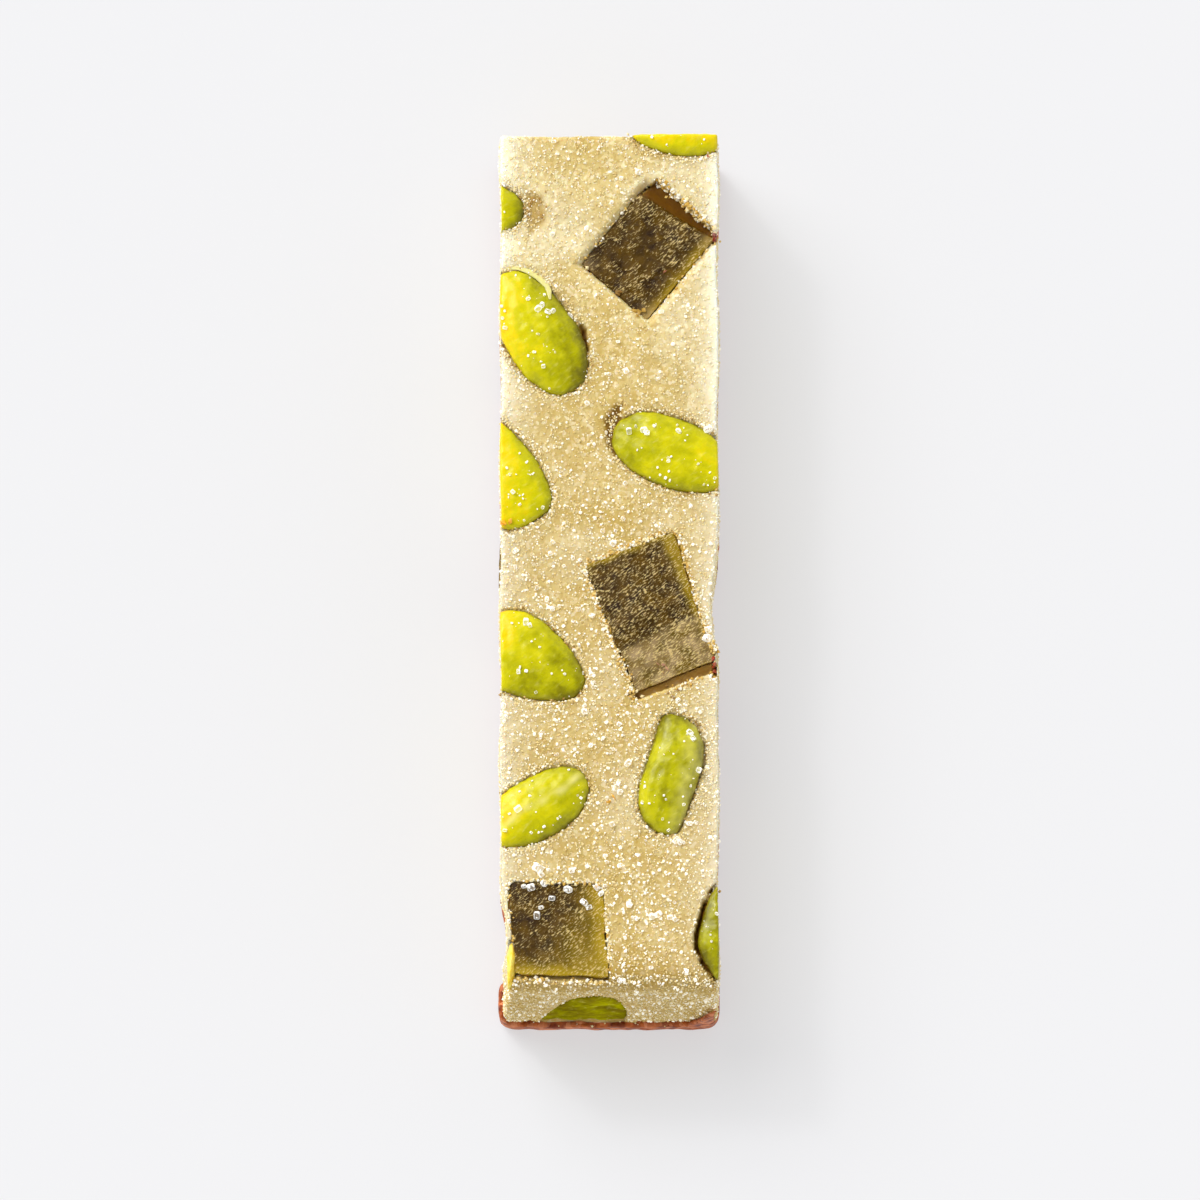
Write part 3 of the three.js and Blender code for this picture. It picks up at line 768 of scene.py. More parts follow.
def pasteTones(shell, below, stainAndShade):
    # Moist halos with painted shade, painted shade in crevices, gaps and towards the foot, amber rims round
    # the fruit and pale edges, both painted light, and pale patches
    tone = pasteTone
    points, onTop, toNear = shell["points"], shell["onTop"], shell["toNear"]
    y = points[:, 1]
    pieceDistance = np.minimum(shell["kernelDistance"], shell["cubeDistance"] + 0.5)
    # Halos round the pieces: moist paste and painted shade
    halo = np.exp(-((pieceDistance / tone["haloReach"]) ** 2))
    moistAndShade = tone["halo"] * halo * (0.2 + 0.8 * shell["patchy"])
    # painted shade in the crevices, darker the deeper they lie
    moistAndShade = np.maximum(moistAndShade, tone["crevice"] * smoothStep(below, 0.25, 0.8) * ~shell["covered"])
    moistAndShade = np.maximum(np.where(onTop, moistAndShade, tone["sideMoistAndShade"] * moistAndShade), stainAndShade)
    # painted shade on the leaning near end, darker towards the foot
    byFoot = tone["footShade"] * smoothStep(toNear, 7, 0.5) * (y < 0)
    moistAndShade = np.maximum(moistAndShade, byFoot + tone["nearDarkening"] * smoothStep(y, 40, -5))
    # Painted light: patchy amber rims round the first two cubes
    amberDistance = nearestDistances(solidTree(tone["amberCubes"]), points)
    amber = np.exp(-((amberDistance / tone["amberReach"]) ** 2))
    amber *= np.clip(0.7 + 0.8 * smoothNoise(points, 1.4, 11), 0, 1)
    # Painted glow: paler paste near the top's edges and on the sides, none at the near end
    edge = np.where(onTop, tone["edge"] * np.exp(-shell["sideDistance"] / tone["edgeReach"]), tone["sides"])
    edge = edge * smoothStep(toNear, 0.5, 3.5)
    patches = smoothStep(smoothNoise(points, 9.0, 15), 0.0, 0.6)
    edge = np.maximum(edge, tone["patches"] * patches * onTop)
    edge *= np.clip(1 - 1.6 * moistAndShade, 0, 1)
    return np.stack([moistAndShade, amber, edge], axis=1)


def pasteRims(shell, placed, depth, below):
    # Points along the rims of the pockets and crevices, for the crumbs
    quads, onTop, covered = shell["quads"], shell["onTop"], shell["covered"]
    cubeDistance = shell["cubeDistance"]
    mixed = quads[covered[quads].any(axis=1) & (~covered[quads]).any(axis=1)]
    border = np.unique(mixed[~covered[mixed] & onTop[mixed]])
    border = border[depth[border] < 0.6]
    byCubes = onTop & ~covered & (cubeDistance < 3)
    crevice = np.flatnonzero(byCubes & (below > 0.12) & (below < 0.6))
    border = np.concatenate([border, crevice])
    atCube = cubeDistance[border] < shell["kernelDistance"][border]
    return {"kernel": placed[border[~atCube]], "cube": placed[border[atCube]]}


def buildPaste():
    shape = pasteShape
    low, high = (np.array(corner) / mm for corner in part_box("almond_paste"))
    level = photo["planeHeight"]
    allTree = solidTree(["almond_paste"] + insetNames)
    lattice, quads, underside = boxShell(shape["cells"])
    shares = lattice / np.array(shape["cells"])
    onTop = shares[:, 2] == 1
    onEnds = ~onTop & ((shares[:, 1] == 0) | (shares[:, 1] == 1))
    onSides = ~onTop & ~onEnds

    alongs, left, right, levels, near = pasteLines(allTree, low, high)
    z = low[2] + (1 - (1 - shares[:, 2]) ** shape["rowPower"]) * (level - low[2])
    nearLine = np.interp(z, levels, near)
    farLine = high[1] - 0.1
    y = nearLine + shares[:, 1] * (farLine - nearLine)
    leftLine = np.interp(y, alongs, left)
    rightLine = np.interp(y, alongs, right)
    x = leftLine + shares[:, 0] * (rightLine - leftLine)
    points = np.stack([x, y, z], axis=1)
    axis = np.zeros_like(points)
    axis[shares[:, 0] == 0] = (-1, 0, 0)
    axis[shares[:, 0] == 1] = (1, 0, 0)
    axis[shares[:, 1] == 0] = (0, -1, 0)
    axis[shares[:, 1] == 1] = (0, 1, 0)
    axis[onTop] = (0, 0, 1)
    toLeft, toRight, toNear, toFar = x - leftLine, rightLine - x, y - nearLine, farLine - y
    rounded, outward = roundEdges(points, toLeft, toRight, toNear, toFar)

    # The solid under each point; at the edges it is taken a little further in
    margin = shape["castMargin"]
    spots = points.copy()
    spots[:, 0] = np.where(onSides, x, np.clip(x, leftLine + margin, rightLine - margin))
    spots[:, 1] = np.where(onEnds, y, np.clip(y, nearLine + margin, farLine - margin))
    spots[:, 2] = np.where(onTop, z, np.clip(z, low[2] + margin, level - 2 * margin))
    nearEnd = toNear < shape["endRadius"]
    spots[nearEnd] = rounded[nearEnd]
    axis[nearEnd] = outward[nearEnd]
    jitter = np.stack([smoothNoise(points, shape["jitterSize"], seed) for seed in (2, 3, 4)], axis=1)
    jitter *= shape["rimJitter"]
    jitter -= axis * np.sum(jitter * axis, axis=1, keepdims=True)
    insetDepth = castDepths(solidTree(insetNames), spots, axis)
    covered = insetDepth < castDepths(allTree, spots, axis) + 0.02
    covered &= insetDepth < np.where(onTop, shape["coverTop"], shape["coverSide"])
    shell = {
        "points": points,
        "loose": points + jitter,  # for rims that crumble
        "quads": quads,
        "onTop": onTop,
        "covered": covered,
        "insetDepth": insetDepth,
        "solidDepth": castDepths(allTree, spots + jitter, axis),
        "toNear": toNear,
        "sideDistance": np.minimum(toLeft, toRight),
        "cubeDistance": nearestDistances(solidTree(cubeNames), points),
        "kernelDistance": nearestDistances(solidTree(kernelNames), points),
        "peelDistance": nearestDistances(solidTree(["peel_sliver"]), points),
        "patchy": 0.5 + 0.5 * smoothNoise(points, 3.5, 6),
    }
    depth, below, stainAndShade = pasteDepths(shell)

    relief = shape["lump"] * (smoothNoise(points, 5.0, 8) + 0.8 * smoothNoise(points, 1.7, 9))
    relief += shape["grainHeight"] * (grainNoise(points, shape["grainSize"], 10) - 0.6)
    relief[covered | (shares[:, 2] == 0)] = 0
    placed = rounded - axis * depth[:, None] + outward * relief[:, None]
    lowShare = smoothStep(z, *shape["swellHeights"])
    atFoot = smoothStep(toNear, 2.0, 0.3) * lowShare
    placed[:, 1] -= shape["footSwell"] * atFoot * smoothStep(toNear, 0.4, 0.0)
    byFoot = smoothStep(toNear, 7.5, 5.5) * lowShare
    placed[:, 0] -= shape["sideSwell"] * byFoot * smoothStep(toLeft, 1, 0)

    zones = pasteTones(shell, below, stainAndShade)
    makePiece("almondPasteBlock", placed, quads.tolist() + [underside], pasteMaterial(),
              ["almond_paste"], zones=np.clip(zones, 0, 1))
    print("paste:", len(quads), "quads")
    pieceDistance = np.minimum(shell["kernelDistance"], shell["cubeDistance"])
    return {
        "points": placed,
        "quads": quads,
        "onTop": onTop,
        "free": ~covered & (depth < 0.5) & (shares[:, 2] > 0),
        "rim": np.exp(-((pieceDistance - 0.5) / 0.35) ** 2),
        "edge": zones[:, 2],
        "rims": pasteRims(shell, placed, depth, below),
    }


# Kernels: wrinkled along their length, yellower where a side of the bar cuts them
kernelShape = {
    "voxel": 0.26,
    "relaxRounds": 22,
    "wrinkle": 0.1,
    "fold": 0.16,
    "foldLength": 0.35,  # folds are this much shorter across a kernel than along it
    "patches": 0.17,  # uneven ripeness
    "specks": 0.1,
    "lowDark": 0.18,  # how much greener and darker a kernel gets towards the paste: painted shade
    "cutReach": 2.4,
    "cutSunk": 0.1,
    "dull": "pistachio_10",
}
plainKernel = {"ripe": 0.42, "rim": 0.15, "cut": 0.34, "lean": (0.0, 0.0)}
kernelLooks = {
    "pistachio_01": {"ripe": 0.5, "rim": 0.5},
    "pistachio_02": {"ripe": 0.3, "rim": 0.5},
    "pistachio_03": {"ripe": 0.5, "lean": (-0.045, -0.012), "rim": 0.3, "cut": 0.24},
    "pistachio_04": {"ripe": 0.5, "rim": 0.5, "cut": 0.2},
    "pistachio_05": {"ripe": 0.52, "rim": 0.3},
    "pistachio_06": {"ripe": 0.47, "lean": (0.0, 0.03), "rim": 0.4, "cut": 0.25},
    "pistachio_07": {"ripe": 0.34, "lean": (-0.03, 0.0), "frosty": 0.3, "rim": 0.6},
    "pistachio_08": {"ripe": 0.52, "lean": (-0.02, 0.03), "streak": -0.4, "rim": 0.4, "cut": 0.25},
    "pistachio_09": {"ripe": 0.2, "rim": 0.8, "cut": 0.14, "swell": (-46.6, 2.6, 0.6)},
    "pistachio_10": {"ripe": 0.44, "rim": 0.6, "cut": 0.0},
}
# A curl of pale skin along the upper right of a kernel: its middle line in pixels of the photograph
skinCurl = {
    "node": "pistachio_03",
    "line": ((506, 268), (518, 267), (528, 270), (538, 276), (545, 283), (549, 291), (550, 300)),
    "width": 0.95,
    "thickness": 0.16,
    "tilt": 0.15,
    "rise": 0.1,
    "around": 8,
    "zones": (0.75, 0.0, 0.9),
}


def strip(line, width, thickness, tilt, around):
    # A thin strip, round in section and narrower at its open ends, along a line of points
    line = np.array(line)
    steps = unit(np.gradient(line, axis=0))
    sideways = np.cross(steps, (0, 0, 1))
    share = np.sin(np.linspace(0.12, math.pi - 0.12, len(line)))[:, None, None] ** 0.5
    angles = np.linspace(0, 2 * math.pi, around, endpoint=False)[None, :, None]
    across = sideways[:, None, :] * np.cos(angles) * width / 2
    upward = np.array((0, 0, 1)) * (np.sin(angles) * thickness / 2 + tilt * np.cos(angles))
    points = line[:, None, :] + share * (across + upward)
    faces = []
    for row in range(len(line) - 1):
        for column in range(around):
            following = (column + 1) % around
            first, second = row * around, (row + 1) * around
            faces.append([first + column, second + column, second + following, first + following])
    return points.reshape(-1, 3), faces


def pixelLine(tree, pixels, rise):
    # Points on the surface under pixels of the photograph
    line = []
    for across, down in pixels:
        spot = Vector(atPixel(across, down))
        hit = tree.ray_cast(spot + Vector((0, 0, 10)), Vector((0, 0, -1)))
        line.append((spot.x, spot.y, hit[0].z + rise if hit[0] is not None else spot.z))
    return line


def addSkinCurl(placed, faces, zones):
    curl = skinCurl
    tree = BVHTree.FromPolygons([Vector(point) for point in placed], faces)
    line = pixelLine(tree, curl["line"], curl["rise"])
    extra, extraFaces = strip(line, curl["width"], curl["thickness"], curl["tilt"], curl["around"])
    faces = faces + [[len(placed) + index for index in face] for face in extraFaces]
    zones = np.concatenate([zones, np.tile(curl["zones"], (len(extra), 1))])
    return np.concatenate([placed, extra]), faces, zones


def kernelAxes(points):
    # Places from the middle of a kernel, along its length and across it
    offset = points - points.mean(axis=0)
    axes = np.linalg.eigh(offset.T @ offset)[1]
    along, across = offset @ axes[:, 2], offset @ axes[:, 1]
    return offset, along * np.sign(along @ offset[:, 1]), across * np.sign(across @ offset[:, 0])


def buildKernels():
    shape = kernelShape
    moistMaterial = kernelMaterial("pistachio", 0.2, 0.1, 0.4)
    dullMaterial = kernelMaterial("dullPistachio", 0.0, 0.0, 0.1)
    halfWidth, halfLength = barSize[0] / 2, barSize[1] / 2
    level = photo["planeHeight"]
    made = []
    for number, node in enumerate(kernelNames):
        look = {**plainKernel, **kernelLooks.get(node, {})}
        points, faces, normals = fineMesh(node, shape["voxel"], shape["relaxRounds"])
        offset, along, across = kernelAxes(points)
        height = points[:, 2]
        toSide = np.clip(np.minimum(halfWidth - np.abs(points[:, 0]), halfLength - points[:, 1]), 0, None)
        folds = np.stack([along * shape["foldLength"], across, height], axis=1)
        ripe = look["ripe"] + look["cut"] * np.exp(-toSide / shape["cutReach"])
        ripe += offset[:, :2] @ np.array(look["lean"])
        ripe += (shape["patches"] * smoothNoise(points, 2.8, number + 10)
                 + shape["specks"] * smoothNoise(folds, 0.7, number + 12))
        # painted shade: greener and darker low on the kernel, by the paste
        ripe -= shape["lowDark"] * smoothStep(height, level + 0.9, level - 0.2) * smoothStep(toSide, 0.2, 1.5)
        # rim: olive-brown skin and painted shade, low on the kernel
        lowShare = smoothStep(height, level + 0.55, level - 0.5)
        rim = look["rim"] * lowShare * (0.55 + 0.9 * smoothNoise(points, 1.8, number + 40))
        pale = np.zeros(len(points))
        if "frosty" in look:
            pale = look["frosty"] * smoothStep(across, 0.2, 1.6) * (0.6 + 0.8 * smoothNoise(points, 1.2, 6))
        if "streak" in look:
            line = np.exp(-(((across - look["streak"] - 0.3 * np.sin(along * 0.5)) / 0.45) ** 2))
            pale = 0.7 * line * (0.5 + smoothNoise(points, 1.5, 5))
        bulge = shape["fold"] * smoothNoise(folds, 1.5, number + 20)
        bulge += shape["wrinkle"] * smoothNoise(points, 0.9, number + 60)
        cutFace = smoothStep(np.abs(normals[:, 0]), 0.6, 0.9) * smoothStep(toSide, 3, 2)
        placed = points + normals * (bulge * (1 - cutFace) - shape["cutSunk"] * cutFace)[:, None]
        if "swell" in look:
            placed[:, 0] -= swelling(look, placed) * smoothStep(toSide, 0.2, 1.5)
        zones = np.stack([ripe, rim, pale], axis=1)
        if node == skinCurl["node"]:
            placed, faces, zones = addSkinCurl(placed, faces, zones)
        material = dullMaterial if node == shape["dull"] else moistMaterial
        makePiece(node.replace("pistachio", "kernel"), placed, faces, material, [node],
                  zones=np.clip(zones, 0, 1))
        made.append({"points": placed, "quads": np.array(faces)})
    print("kernels:", len(made))
    return made


# Cubes: a wrinkled, frosted jelly that glows yellow where it is thin
cubeShape = {
    "voxel": 0.24,
    "relaxRounds": 4,
    "wave": 0.26,
    "wrinkle": 0.07,
    "edgeReach": 1.2,
    "edgeShare": 0.25,
    "plain": {"glow": 0.15, "frostAndSheen": 0.5, "amber": 0.1},  # of the cubes in the sides
    "glowFrostAndSheen": 0.08,
    "ridgeHeight": 0.16,
    "middleFrostAndSheen": 0.15,
    "bandFrostAndSheen": 0.6,
    "bandDepth": 1.0,
    "cornerFilm": (0.6, 1.3),  # share and reach
    "paleFrom": (2.0, 3.8),
    "paleFrostAndSheen": 0.06,
    "paleGlow": 0.15,
}


def squareEdges(look, points):
    # Brings the slanted upper edges of a cube out towards where its top and sides meet
    shape = cubeShape
    yaw = math.radians(look["yaw"])
    along, across = cubePlace(look, points)
    inward = np.stack([look["size"][0] / 2 - np.abs(along), look["size"][1] / 2 - np.abs(across)])
    crease, angle = look.get("bend", (0.0, 0.0))
    below = look["top"] - np.clip(along - crease, 0, None) * math.tan(math.radians(angle)) - points[:, 2]
    placed = points.copy()
    for number, (place, turn) in enumerate(((along, yaw), (across, yaw + math.pi / 2))):
        gap = np.clip(inward[number], 0, None)
        reach = np.maximum(gap, np.clip(below, 0, None))
        rounding = 1 - smoothStep(reach, 0.35 * shape["edgeReach"], shape["edgeReach"])
        share = (1 - shape["edgeShare"]) * rounding
        step = np.sign(place) * gap * share
        placed[:, 0] += step * math.cos(turn)
        placed[:, 1] += step * math.sin(turn)
        placed[:, 2] = np.maximum(placed[:, 2], points[:, 2] + np.clip(below, 0, None) * share)
    if "stretch" in look:
        drawn = backStretch(look, along, across) * smoothStep(along, 0, -look["size"][0] / 2)
        placed[:, 0] -= drawn * math.cos(yaw)
        placed[:, 1] -= drawn * math.sin(yaw)
    return placed


def dressCube(look, points, normals, uneven, number):
    # Points of a cube of the top with its edges and ridges, and its glow, frost with painted highlights,
    # amber and pale film
    shape = cubeShape
    points = squareEdges(look, points)
    along, across = cubePlace(look, points)
    halfLength, halfWidth = look["size"][0] / 2, look["size"][1] / 2
    distances = {"front": halfLength - along, "back": along + halfLength,
                 "left": halfWidth - across, "right": across + halfWidth}
    glow = np.zeros(len(points))
    film = np.zeros(len(points))
    for side, reach in look["glow"].items():
        share = np.exp(-((np.clip(distances[side] + 0.5 * uneven, 0, None) / reach) ** 2))
        glow = np.maximum(glow, look["glowShare"] * share)
    if "diagonal" in look:
        lean = along / halfLength - 0.7 * across / halfWidth
        glow = np.maximum(glow, look["diagonal"] * smoothStep(lean + 0.3 * uneven, -0.3, 1.6))
    frostAndSheen = look["frostAndSheen"] + shape["glowFrostAndSheen"] * glow + look["contrast"] * uneven
    amber = smoothStep(normals[:, 2], 0.7, 0.2)
    if "ridges" in look:
        crest = 1 - np.clip(3 * np.abs(smoothNoise(points, 2.6, number + 95)), 0, 1)
        # more frost and painted highlights on the ridge crests
        frostAndSheen += look["ridges"] * (crest ** 2 - 0.25)
        ridge = shape["ridgeHeight"] * crest ** 2 * smoothStep(normals[:, 2], 0.5, 0.9)
        points = points + np.outer(ridge, (0, 0, 1))
    if "darkMiddle" in look:
        frostAndSheen -= shape["middleFrostAndSheen"] * np.exp(-(along ** 2 + across ** 2) / 6)
    if "band" in look:
        share = insideShare(points, look["band"], 0.25)
        amber = np.maximum(amber, share)
        frostAndSheen -= shape["bandFrostAndSheen"] * share
        points = points - np.outer(shape["bandDepth"] * share, (0, 0, 1))
        corner = np.hypot(np.abs(along) - halfLength, np.abs(across) - halfWidth)
        most, reach = shape["cornerFilm"]
        film = most * np.exp(-((corner / reach) ** 2)) * (1 - share)
    if "paleEnd" in look:
        share = smoothStep(along + 0.7 * uneven, *shape["paleFrom"])
        film = share * np.clip(0.42 + 0.8 * smoothNoise(points, 1.3, 73), 0.05, 0.85)
        frostAndSheen += shape["paleFrostAndSheen"] * share
        glow = np.maximum(glow, shape["paleGlow"] * share)
    return points, glow, frostAndSheen, amber, film


def buildCubes():
    shape = cubeShape
    material = fruitMaterial()
    made = []
    for number, node in enumerate(cubeNames):
        points, faces, normals = fineMesh(node, shape["voxel"], shape["relaxRounds"])
        if node in cubeLooks:
            uneven = smoothNoise(points, 2.2, number + 70)
            points, glow, frostAndSheen, amber, film = dressCube(cubeLooks[node], points, normals, uneven, number)
        else:
            plain = shape["plain"]
            glow, frostAndSheen, amber = (np.full(len(points), plain[key]) for key in ("glow", "frostAndSheen", "amber"))
            film = np.zeros(len(points))
        bulge = shape["wave"] * smoothNoise(points, 3.0, number + 80)
        bulge += shape["wrinkle"] * smoothNoise(points, 0.6, number + 90)
        placed = points + normals * bulge[:, None]
        zones = np.clip(np.stack([glow, frostAndSheen, amber], axis=1), 0, 1)
        makePiece(node.replace("fruit_cube", "candiedCube"), placed, faces, material, [node],
                  zones=zones, film=film)
        made.append({"points": placed, "quads": np.array(faces)})
    print("cubes:", len(made))
    return made


# Peel: a thin sliver with a finely wrinkled skin
peelShape = {"voxel": 0.16, "relaxRounds": 6, "wrinkle": 0.05, "wrinkleSize": 0.8}


def buildPeel():
    shape = peelShape
    points, faces, normals = fineMesh("peel_sliver", shape["voxel"], shape["relaxRounds"])
    placed = points + normals * (shape["wrinkle"] * smoothNoise(points, shape["wrinkleSize"], 31))[:, None]
    makePiece("peelSliver", placed, faces, peelMaterial(), ["peel_sliver"])
    print("peel sliver made")


# Chocolate: a rough base, with a tongue up the near right corner and a shallow hollow in its right side
chocolateShape = {
    "voxel": 0.4,
    "relaxRounds": 5,
    "wave": 0.13,
    "waveSize": 3.2,
    "wrinkle": 0.1,
    "wrinkleSize": 1.0,
    "tongue": 2.4,  # how much higher than the solid's
    "tongueAcross": (9, 13),
    "tongueAlong": (-46, -49),
    "tongueHeights": (3.2, 8.5),
    "hollow": 0.7,
    "hollowAlong": -4.5,
    "hollowReach": 5.5,
    "hollowAcross": (11, 12.5),
}


def buildChocolate():
    shape = chocolateShape
    points, faces, normals = fineMesh("chocolate_base", shape["voxel"], shape["relaxRounds"])
    bulge = shape["wave"] * smoothNoise(points, shape["waveSize"], 33)
    bulge += shape["wrinkle"] * smoothNoise(points, shape["wrinkleSize"], 34)
    aboveFloor = smoothStep(points[:, 2], 0.2, 0.9)
    placed = points + normals * (bulge * aboveFloor)[:, None]
    placed[:, 2] = np.maximum(placed[:, 2], 0)
    atCorner = smoothStep(placed[:, 0], *shape["tongueAcross"])
    atCorner = atCorner * smoothStep(placed[:, 1], *shape["tongueAlong"])
    placed[:, 2] += shape["tongue"] * atCorner * smoothStep(placed[:, 2], *shape["tongueHeights"])
    inHollow = np.exp(-(((placed[:, 1] - shape["hollowAlong"]) / shape["hollowReach"]) ** 4))
    placed[:, 0] -= shape["hollow"] * inHollow * smoothStep(placed[:, 0], *shape["hollowAcross"])
    makePiece("chocolateBase", placed, faces, chocolateMaterial(), ["chocolate_base"])
    print("chocolate:", len(faces), "quads")
    return {"points": placed, "quads": np.array(faces)}


# Sugar: fine grains all over the paste, and crystals, most of them towards the footed end
def randomTurns(random, count):
    spin = random.normal(size=(count, 4))
    w, x, y, z = unit(spin).T
    rows = [
        [1 - 2 * (y * y + z * z), 2 * (x * y - z * w), 2 * (x * z + y * w)],
        [2 * (x * y + z * w), 1 - 2 * (x * x + z * z), 2 * (y * z - x * w)],
        [2 * (x * z - y * w), 2 * (y * z + x * w), 1 - 2 * (x * x + y * y)],
    ]
    return np.stack([np.stack(row, axis=1) for row in rows], axis=1)


def scatterOn(random, surface, weights, count):
    # Random places on the quads of a surface, with the way out at each and the quad's number
    crossings = quadCrossings(surface["points"], surface["quads"])
    area = np.linalg.norm(crossings, axis=1) * weights
    chosen = random.choice(len(area), size=count, p=area / area.sum())
    one, two = random.random((2, count, 1))
    picked = surface["points"][surface["quads"][chosen]]
    places = (picked[:, 0] * (1 - one) + picked[:, 1] * one) * (1 - two)
    places += (picked[:, 3] * (1 - one) + picked[:, 2] * one) * two
    return places, unit(crossings[chosen]), chosen


def unevenSizes(random, sizeRange, count):
    # Sizes in three directions, each a little different from the grain's own size
    return random.uniform(*sizeRange, size=(count, 1)) * random.uniform(0.7, 1.2, size=(count, 3))


def joinCopies(places, sizes, turns, corners, faces):
    # One mesh of many turned and sized copies
    spots = np.einsum("nij,nkj->nki", turns, corners[None] * sizes[:, None, :]) + places[:, None, :]
    starts = np.arange(len(places))[:, None, None] * len(corners)
    return spots.reshape(-1, 3), (faces[None] + starts).reshape(-1, faces.shape[1])


def joinSurfaces(surfaces):
    starts = np.cumsum([0] + [len(surface["points"]) for surface in surfaces[:-1]])
    return {
        "points": np.concatenate([surface["points"] for surface in surfaces]),
        "quads": np.concatenate([surface["quads"] + start for surface, start in zip(surfaces, starts)]),
    }


def upFacing(surface, least):
    crossings = quadCrossings(surface["points"], surface["quads"])
    return (crossings[:, 2] > least * np.linalg.norm(crossings, axis=1)).astype(float)


grainCorners = np.array([(1, 0, 0), (-1, 0, 0), (0, 1, 0), (0, -1, 0), (0, 0, 1), (0, 0, -1)], dtype=float)
grainFaces = np.array([
    (0, 2, 4), (2, 1, 4), (1, 3, 4), (3, 0, 4),
    (2, 0, 5), (1, 2, 5), (3, 1, 5), (0, 3, 5),
])


def crystalForm():
    # A cube with its edges and corners cut off
    made = bmesh.new()
    bmesh.ops.create_cube(made, size=1.0)
    bmesh.ops.bevel(made, geom=made.edges[:], offset=0.16, segments=1, affect="EDGES")
    bmesh.ops.triangulate(made, faces=made.faces[:])
    corners = np.array([vertex.co[:] for vertex in made.verts])
    faces = np.array([[vertex.index for vertex in face.verts] for face in made.faces])
    made.free()
    return corners, faces


sugar = {
    "seed": 5,
    "topGrains": 9000,
    "rimGrains": 2600,
    "sideGrains": 6500,
    "frontGrains": 2200,
    "footGrains": 60,
    "grainSize": (0.08, 0.2),
    "grainLift": 0.1,  # share of the size that stands out further
    "frontFrom": -50.5,  # the leaning near end, and the foot under it, start here
    "footFrom": -50,
    "footAbove": 2,
    "topCrystals": 2200,
    "sideCrystals": 400,
    "frontCrystals": 420,
    "kernelCrystals": 170,
    "crystalSize": (0.08, 0.42),
    "crystalPower": 2.5,  # small ones are far more common
    "crystalSides": (0.5, 1.1),
    "crystalLift": 0.2,
    "topClear": 200,
    "kernelClear": 45,
    "clearSize": (0.3, 0.7),
    "markedSides": (1.0, 0.8, 0.7),
    # Crystals that stand out: pixel across, pixel down, and size in mm
    "marked": (
        (538, 868, 1.3), (541, 874, 0.8), (544, 883, 0.8), (597, 887, 0.8), (601, 893, 0.7),
        (652, 916, 0.8), (658, 914, 0.9), (670, 917, 0.7), (675, 919, 0.6), (629, 904, 0.8), (636, 918, 0.6),
        (538, 310, 0.8), (542, 306, 0.7), (548, 313, 0.8), (553, 312, 0.6), (570, 315, 0.6), (629, 432, 0.8),
        (644, 431, 0.8), (647, 434, 0.7), (708, 429, 1.0), (526, 623, 0.9), (530, 626, 0.6),
        (518, 810, 0.9), (616, 788, 1.0), (620, 792, 0.7), (612, 824, 0.8), (628, 763, 0.9), (707, 638, 1.1),
        (708, 630, 0.8), (690, 734, 0.8), (693, 740, 0.7), (676, 840, 0.9), (680, 842, 0.7), (620, 865, 0.6),
    ),
    # Clear crystals on the fruit
    "clear": (
        (531, 887, 0.95), (552, 898, 0.85), (541, 907, 0.6), (537, 915, 0.9),
        (568, 889, 1.0), (584, 902, 0.9), (589, 907, 0.7), (524, 886, 0.6),
    ),
}


